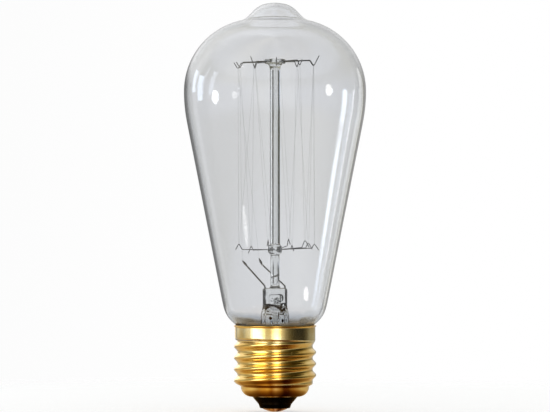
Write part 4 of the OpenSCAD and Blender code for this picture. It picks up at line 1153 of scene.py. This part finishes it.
def build_floor():
    """A plain pale table top that fades into the white background at its edge; near the lamp, mirrors see a
    painted reflection on it.
    """
    work = bmesh.new()
    bmesh.ops.create_circle(work, cap_ends=True, segments=96, radius=FLOOR_R)
    floor = show(worked_object("floor", work))
    floor.location.z = -FLOOR_DROP
    material, tree = new_material("matt_white_table_with_painted_reflection")
    path = add(tree, "ShaderNodeLightPath").outputs
    spot = add(tree, "ShaderNodeTexCoord").outputs["Object"]
    away = add(tree, "ShaderNodeVectorMath", {0: spot}, operation="LENGTH")
    lit = add(tree, "ShaderNodeBsdfDiffuse", {"Color": linear(FLOOR_COLOUR)})
    seen = add(tree, "ShaderNodeMath", {0: path["Is Camera Ray"], 1: path["Is Transmission Ray"]},
               operation="MAXIMUM")
    strength = add(tree, "ShaderNodeMath", {0: seen, 1: FLOOR_GLOW}, operation="MULTIPLY")
    glow = add(tree, "ShaderNodeEmission", {"Color": linear("FFFFFF"), "Strength": strength})
    whole = add(tree, "ShaderNodeAddShader", {0: lit, 1: glow})
    # Painted reflection: near the lamp, glossy rays see the table glow warm, with painted shade under the
    # lamp and to the right
    axes = add(tree, "ShaderNodeSeparateXYZ", {0: spot}).outputs
    painted_stripes = add(tree, "ShaderNodeValToRGB", {"Fac": turn_share(tree, axes)},
                  round_stops([(azimuth, linear(code)) for azimuth, code in PAINTED_TABLE_STRIPES]))
    reach = PAINTED_TABLE_RINGS[-1][0]
    near = add(tree, "ShaderNodeMapRange", stretch(away, 0, reach, 0, 1))
    near = add(tree, "ShaderNodeValToRGB", {"Fac": near},
               [(distance / reach, linear(code)) for distance, code in PAINTED_TABLE_RINGS])
    colour = add(tree, "ShaderNodeMix", {SHARE: 1.0, FIRST: near, SECOND: painted_stripes}, **MULTIPLY)
    warm = add(tree, "ShaderNodeEmission", {"Color": colour})
    close = add(tree, "ShaderNodeMapRange", stretch(away, PAINTED_REFLECTION_FROM, PAINTED_REFLECTION_TO, 1, 0), **SMOOTH)
    mirrored = add(tree, "ShaderNodeMath", {0: close, 1: path["Is Glossy Ray"]}, operation="MULTIPLY")
    table = add(tree, "ShaderNodeMixShader", {0: mirrored, 1: whole, 2: warm})
    fade = add(tree, "ShaderNodeMapRange", stretch(away, FADE_FROM, FADE_TO, 0, 1), **SMOOTH)
    clear = add(tree, "ShaderNodeBsdfTransparent")
    faded = add(tree, "ShaderNodeMixShader", {0: fade, 1: table, 2: clear})
    add(tree, "ShaderNodeOutputMaterial", {"Surface": faded})
    floor.data.materials.append(material)
    return floor


def grey(value, warm=0.0):
    """A linear grey; warmth lifts its red a little and cuts more of its blue."""
    return (value * (1 + warm * 0.15), value, value * (1 - warm * 0.6), 1.0)


# What metal and glass mirror: azimuth in degrees from the camera towards +X, grey and warmth. Bright
# windows lie to the left and in front, a dark room to the right, the white backdrop behind
ROOM_LEVEL = [(-180, 0.5, 0), (-170, 0.2, 0), (-160, 0.22, 0), (-150, 0.32, 0), (-134, 0.75, 0),
              (-100, 0.5, 0), (-85, 0.9, 0), (-60, 0.9, 0), (-40, 0.8, 0), (-24, 0.75, 0.3),
              (-19, 0.8, 0.4), (-12, 0.8, 0.3), (0, 0.8, 0), (14, 0.8, 0), (22, 0.75, 0), (31, 0.27, 0),
              (41, 0.12, 0.4), (52, 0.06, 0.4), (62, 0.03, 0.3), (88, 0.03, 0.3), (104, 0.12, 0.3),
              (120, 0.3, 0.2), (150, 0.4, 0.2), (166, 0.4, 0), (180, 0.7, 0)]
# The same well over the horizon: brighter behind, darker and warmer in front
ROOM_ABOVE = [(-180, 0.9, 0), (-166, 0.95, 0), (-152, 1.2, 0), (-136, 1.2, 0), (-112, 0.5, 0.2),
              (-95, 0.3, 0.3), (-76, 0.4, 0.4), (-62, 0.7, 0.4), (-44, 0.8, 0.4), (-30, 0.45, 0.4),
              (-19, 0.28, 0.6), (-8, 0.4, 0.4), (0, 0.6, 0.2), (10, 0.6, 0.2), (20, 0.35, 0.4),
              (32, 0.15, 0.5), (50, 0.04, 1.0), (88, 0.04, 1.2), (104, 0.12, 1.0), (120, 0.4, 0.3),
              (150, 0.8, 0), (180, 0.8, 0)]
# What shows through glass that bends the view: the white backdrop, then the room beside it
BACK_LEVEL = [(-180, 1, 0), (-157, 0.9, 0), (-151, 0.03, 0), (-100, 0.03, 0), (-80, 0.4, 0),
              (-60, 0.7, 0), (0, 0.6, 0), (60, 0.05, 0), (132, 0.02, 0), (141, 0.8, 0),
              (156, 1, 0), (159, 0, 0), (167, 0, 0), (170, 1, 0), (180, 1, 0)]
# What is below the table, as a grey and its warmth, and what lights dull surfaces
BELOW, DIFFUSE_LEVEL = (0.22, 1.4), 0.55
# The room changes between these heights, in degrees over the horizon
ABOVE_FROM, ABOVE_FULL, BELOW_FROM, BELOW_FULL = 4, 16, -6, -18


def build_world():
    """Metal and glass mirror the room, dull surfaces get an even light, and the backdrop is white."""
    world = bpy.data.worlds.new("studio")
    bpy.context.scene.world = world
    world.use_nodes = True
    tree = world.node_tree
    tree.nodes.clear()
    way = add(tree, "ShaderNodeTexCoord").outputs["Generated"]
    axes = add(tree, "ShaderNodeSeparateXYZ", {0: way}).outputs
    share = turn_share(tree, axes)
    room, above, back = [add(tree, "ShaderNodeValToRGB", {"Fac": share},
                             round_stops([(azimuth, grey(*level)) for azimuth, *level in levels]))
                         for levels in (ROOM_LEVEL, ROOM_ABOVE, BACK_LEVEL)]
    raised = add(tree, "ShaderNodeMapRange", stretch(axes["Z"], sind(ABOVE_FROM), sind(ABOVE_FULL), 0, 1),
                 **SMOOTH)
    sunk = add(tree, "ShaderNodeMapRange", stretch(axes["Z"], sind(BELOW_FULL), sind(BELOW_FROM), 1, 0),
               **SMOOTH)
    # Light that something mirrored, and light that comes straight or only through glass
    path = add(tree, "ShaderNodeLightPath").outputs
    mirrored = add(tree, "ShaderNodeMath", {0: path["Glossy Depth"], 1: path["Is Diffuse Ray"]},
                   operation="SUBTRACT", use_clamp=True)
    direct = add(tree, "ShaderNodeMath", {0: path["Is Camera Ray"], 1: path["Is Transmission Ray"]},
                 operation="MAXIMUM")
    plain = add(tree, "ShaderNodeMath", {0: direct, 1: mirrored}, operation="SUBTRACT", use_clamp=True)
    around = add(tree, "ShaderNodeMix", {SHARE: raised, FIRST: room, SECOND: above}, **BLEND)
    around = add(tree, "ShaderNodeMix", {SHARE: sunk, FIRST: around, SECOND: grey(*BELOW)}, **BLEND)
    level = add(tree, "ShaderNodeMix", {SHARE: mirrored, FIRST: grey(DIFFUSE_LEVEL), SECOND: around},
                **BLEND)
    behind = add(tree, "ShaderNodeMix", {SHARE: raised, FIRST: back, SECOND: grey(1.0)}, **BLEND)
    seen = add(tree, "ShaderNodeMix", {SHARE: plain, FIRST: level, SECOND: behind}, **BLEND)
    background = add(tree, "ShaderNodeBackground", {"Color": seen})
    add(tree, "ShaderNodeOutputWorld", {"Surface": background})


def flags(name, state, *pieces):
    """Black flags that keep a lamp off some pieces, or let it reach only these."""
    shaded = bpy.data.collections.new(name)
    for piece in pieces:
        shaded.objects.link(piece)
    for entry in shaded.collection_objects:
        entry.light_linking.link_state = state
    return shaded


def add_lamp(name, azimuth, distance, height, width, tall, radiance, flag, colour="FFFFFF",
             disc=False):
    """A softbox that faces the lamp's axis.

    Its azimuth is in degrees from the camera towards +X, its distance, height, width and tallness are
    in metres, and its flag names what it lights or leaves out.
    """
    data = bpy.data.lights.new(name, "AREA")
    data.shape = "ELLIPSE" if disc else "RECTANGLE"
    data.size, data.size_y = width, tall
    data.color = linear(colour)[:3]
    data.energy = radiance * 4 * width * tall * (math.pi / 4 if disc else 1)
    lamp = show(bpy.data.objects.new(name, data))
    lamp.location = (distance * sind(azimuth), -distance * cosd(azimuth), height)
    lamp.rotation_euler = (math.pi / 2, 0, math.radians(azimuth))
    lamp.visible_camera = False
    lamp.light_linking.receiver_collection = flag


FLOOR = build_floor()
build_world()
# The brass has two soft windows and a card of its own. The glass has the other lamps, and the two
# near ones keep off the table
ON_BRASS = flags("on_brass", "INCLUDE", SHELL)
OFF_BRASS = flags("off_brass", "EXCLUDE", SHELL)
OFF_TABLE = flags("off_brass_and_table", "EXCLUDE", SHELL, FLOOR)
add_lamp("brass_left_window", -50, 0.6, 0.25, 0.33, 1.4, 0.9, ON_BRASS, "FFFEF6")
add_lamp("brass_left_halo", -51, 0.61, 0.25, 0.5, 1.4, 0.8, ON_BRASS, "FFFEF6")
add_lamp("brass_edge_card", -163, 0.6, 0.25, 0.24, 1.4, 0.8, ON_BRASS, "FFF6EE")
add_lamp("brass_front_window", 4, 0.7, 0.25, 0.16, 1.4, 1.2, ON_BRASS, "FFFEFA")
add_lamp("brass_front_halo", 4, 0.71, 0.25, 0.34, 1.4, 0.9, ON_BRASS, "FFFEFA")
add_lamp("right_strip", 97.6, 0.5, 0.0, 0.078, 0.25, 2.4, OFF_BRASS, "EDF4FF")
add_lamp("right_thin_strip", 115, 0.5, 0.0, 0.02, 0.25, 2.2, OFF_BRASS, "F4F8FF")
add_lamp("right_card", 139, 0.5, -0.06, 0.18, 0.6, 0.62, OFF_BRASS, disc=True)
add_lamp("left_window", -108, 0.6, 0.17, 0.11, 0.18, 2.6, OFF_BRASS, "DCEBFF")
add_lamp("left_window_side", -123, 0.6, 0.205, 0.09, 0.16, 1.5, OFF_BRASS, "DCEBFF")
add_lamp("left_lamp", -79.8, 0.6, 0.08, 0.112, 0.085, 6, OFF_BRASS, disc=True)
add_lamp("right_lamp", 62.6, 0.105, 0.1045, 0.0165, 0.0167, 3.6, OFF_TABLE, "FFFCF4", disc=True)
add_lamp("low_lamp", 65.9, 0.0905, 0.011, 0.02, 0.0055, 4.2, OFF_TABLE, "FFF4F4", disc=True)

bpy.context.scene.view_settings.view_transform = "Standard"
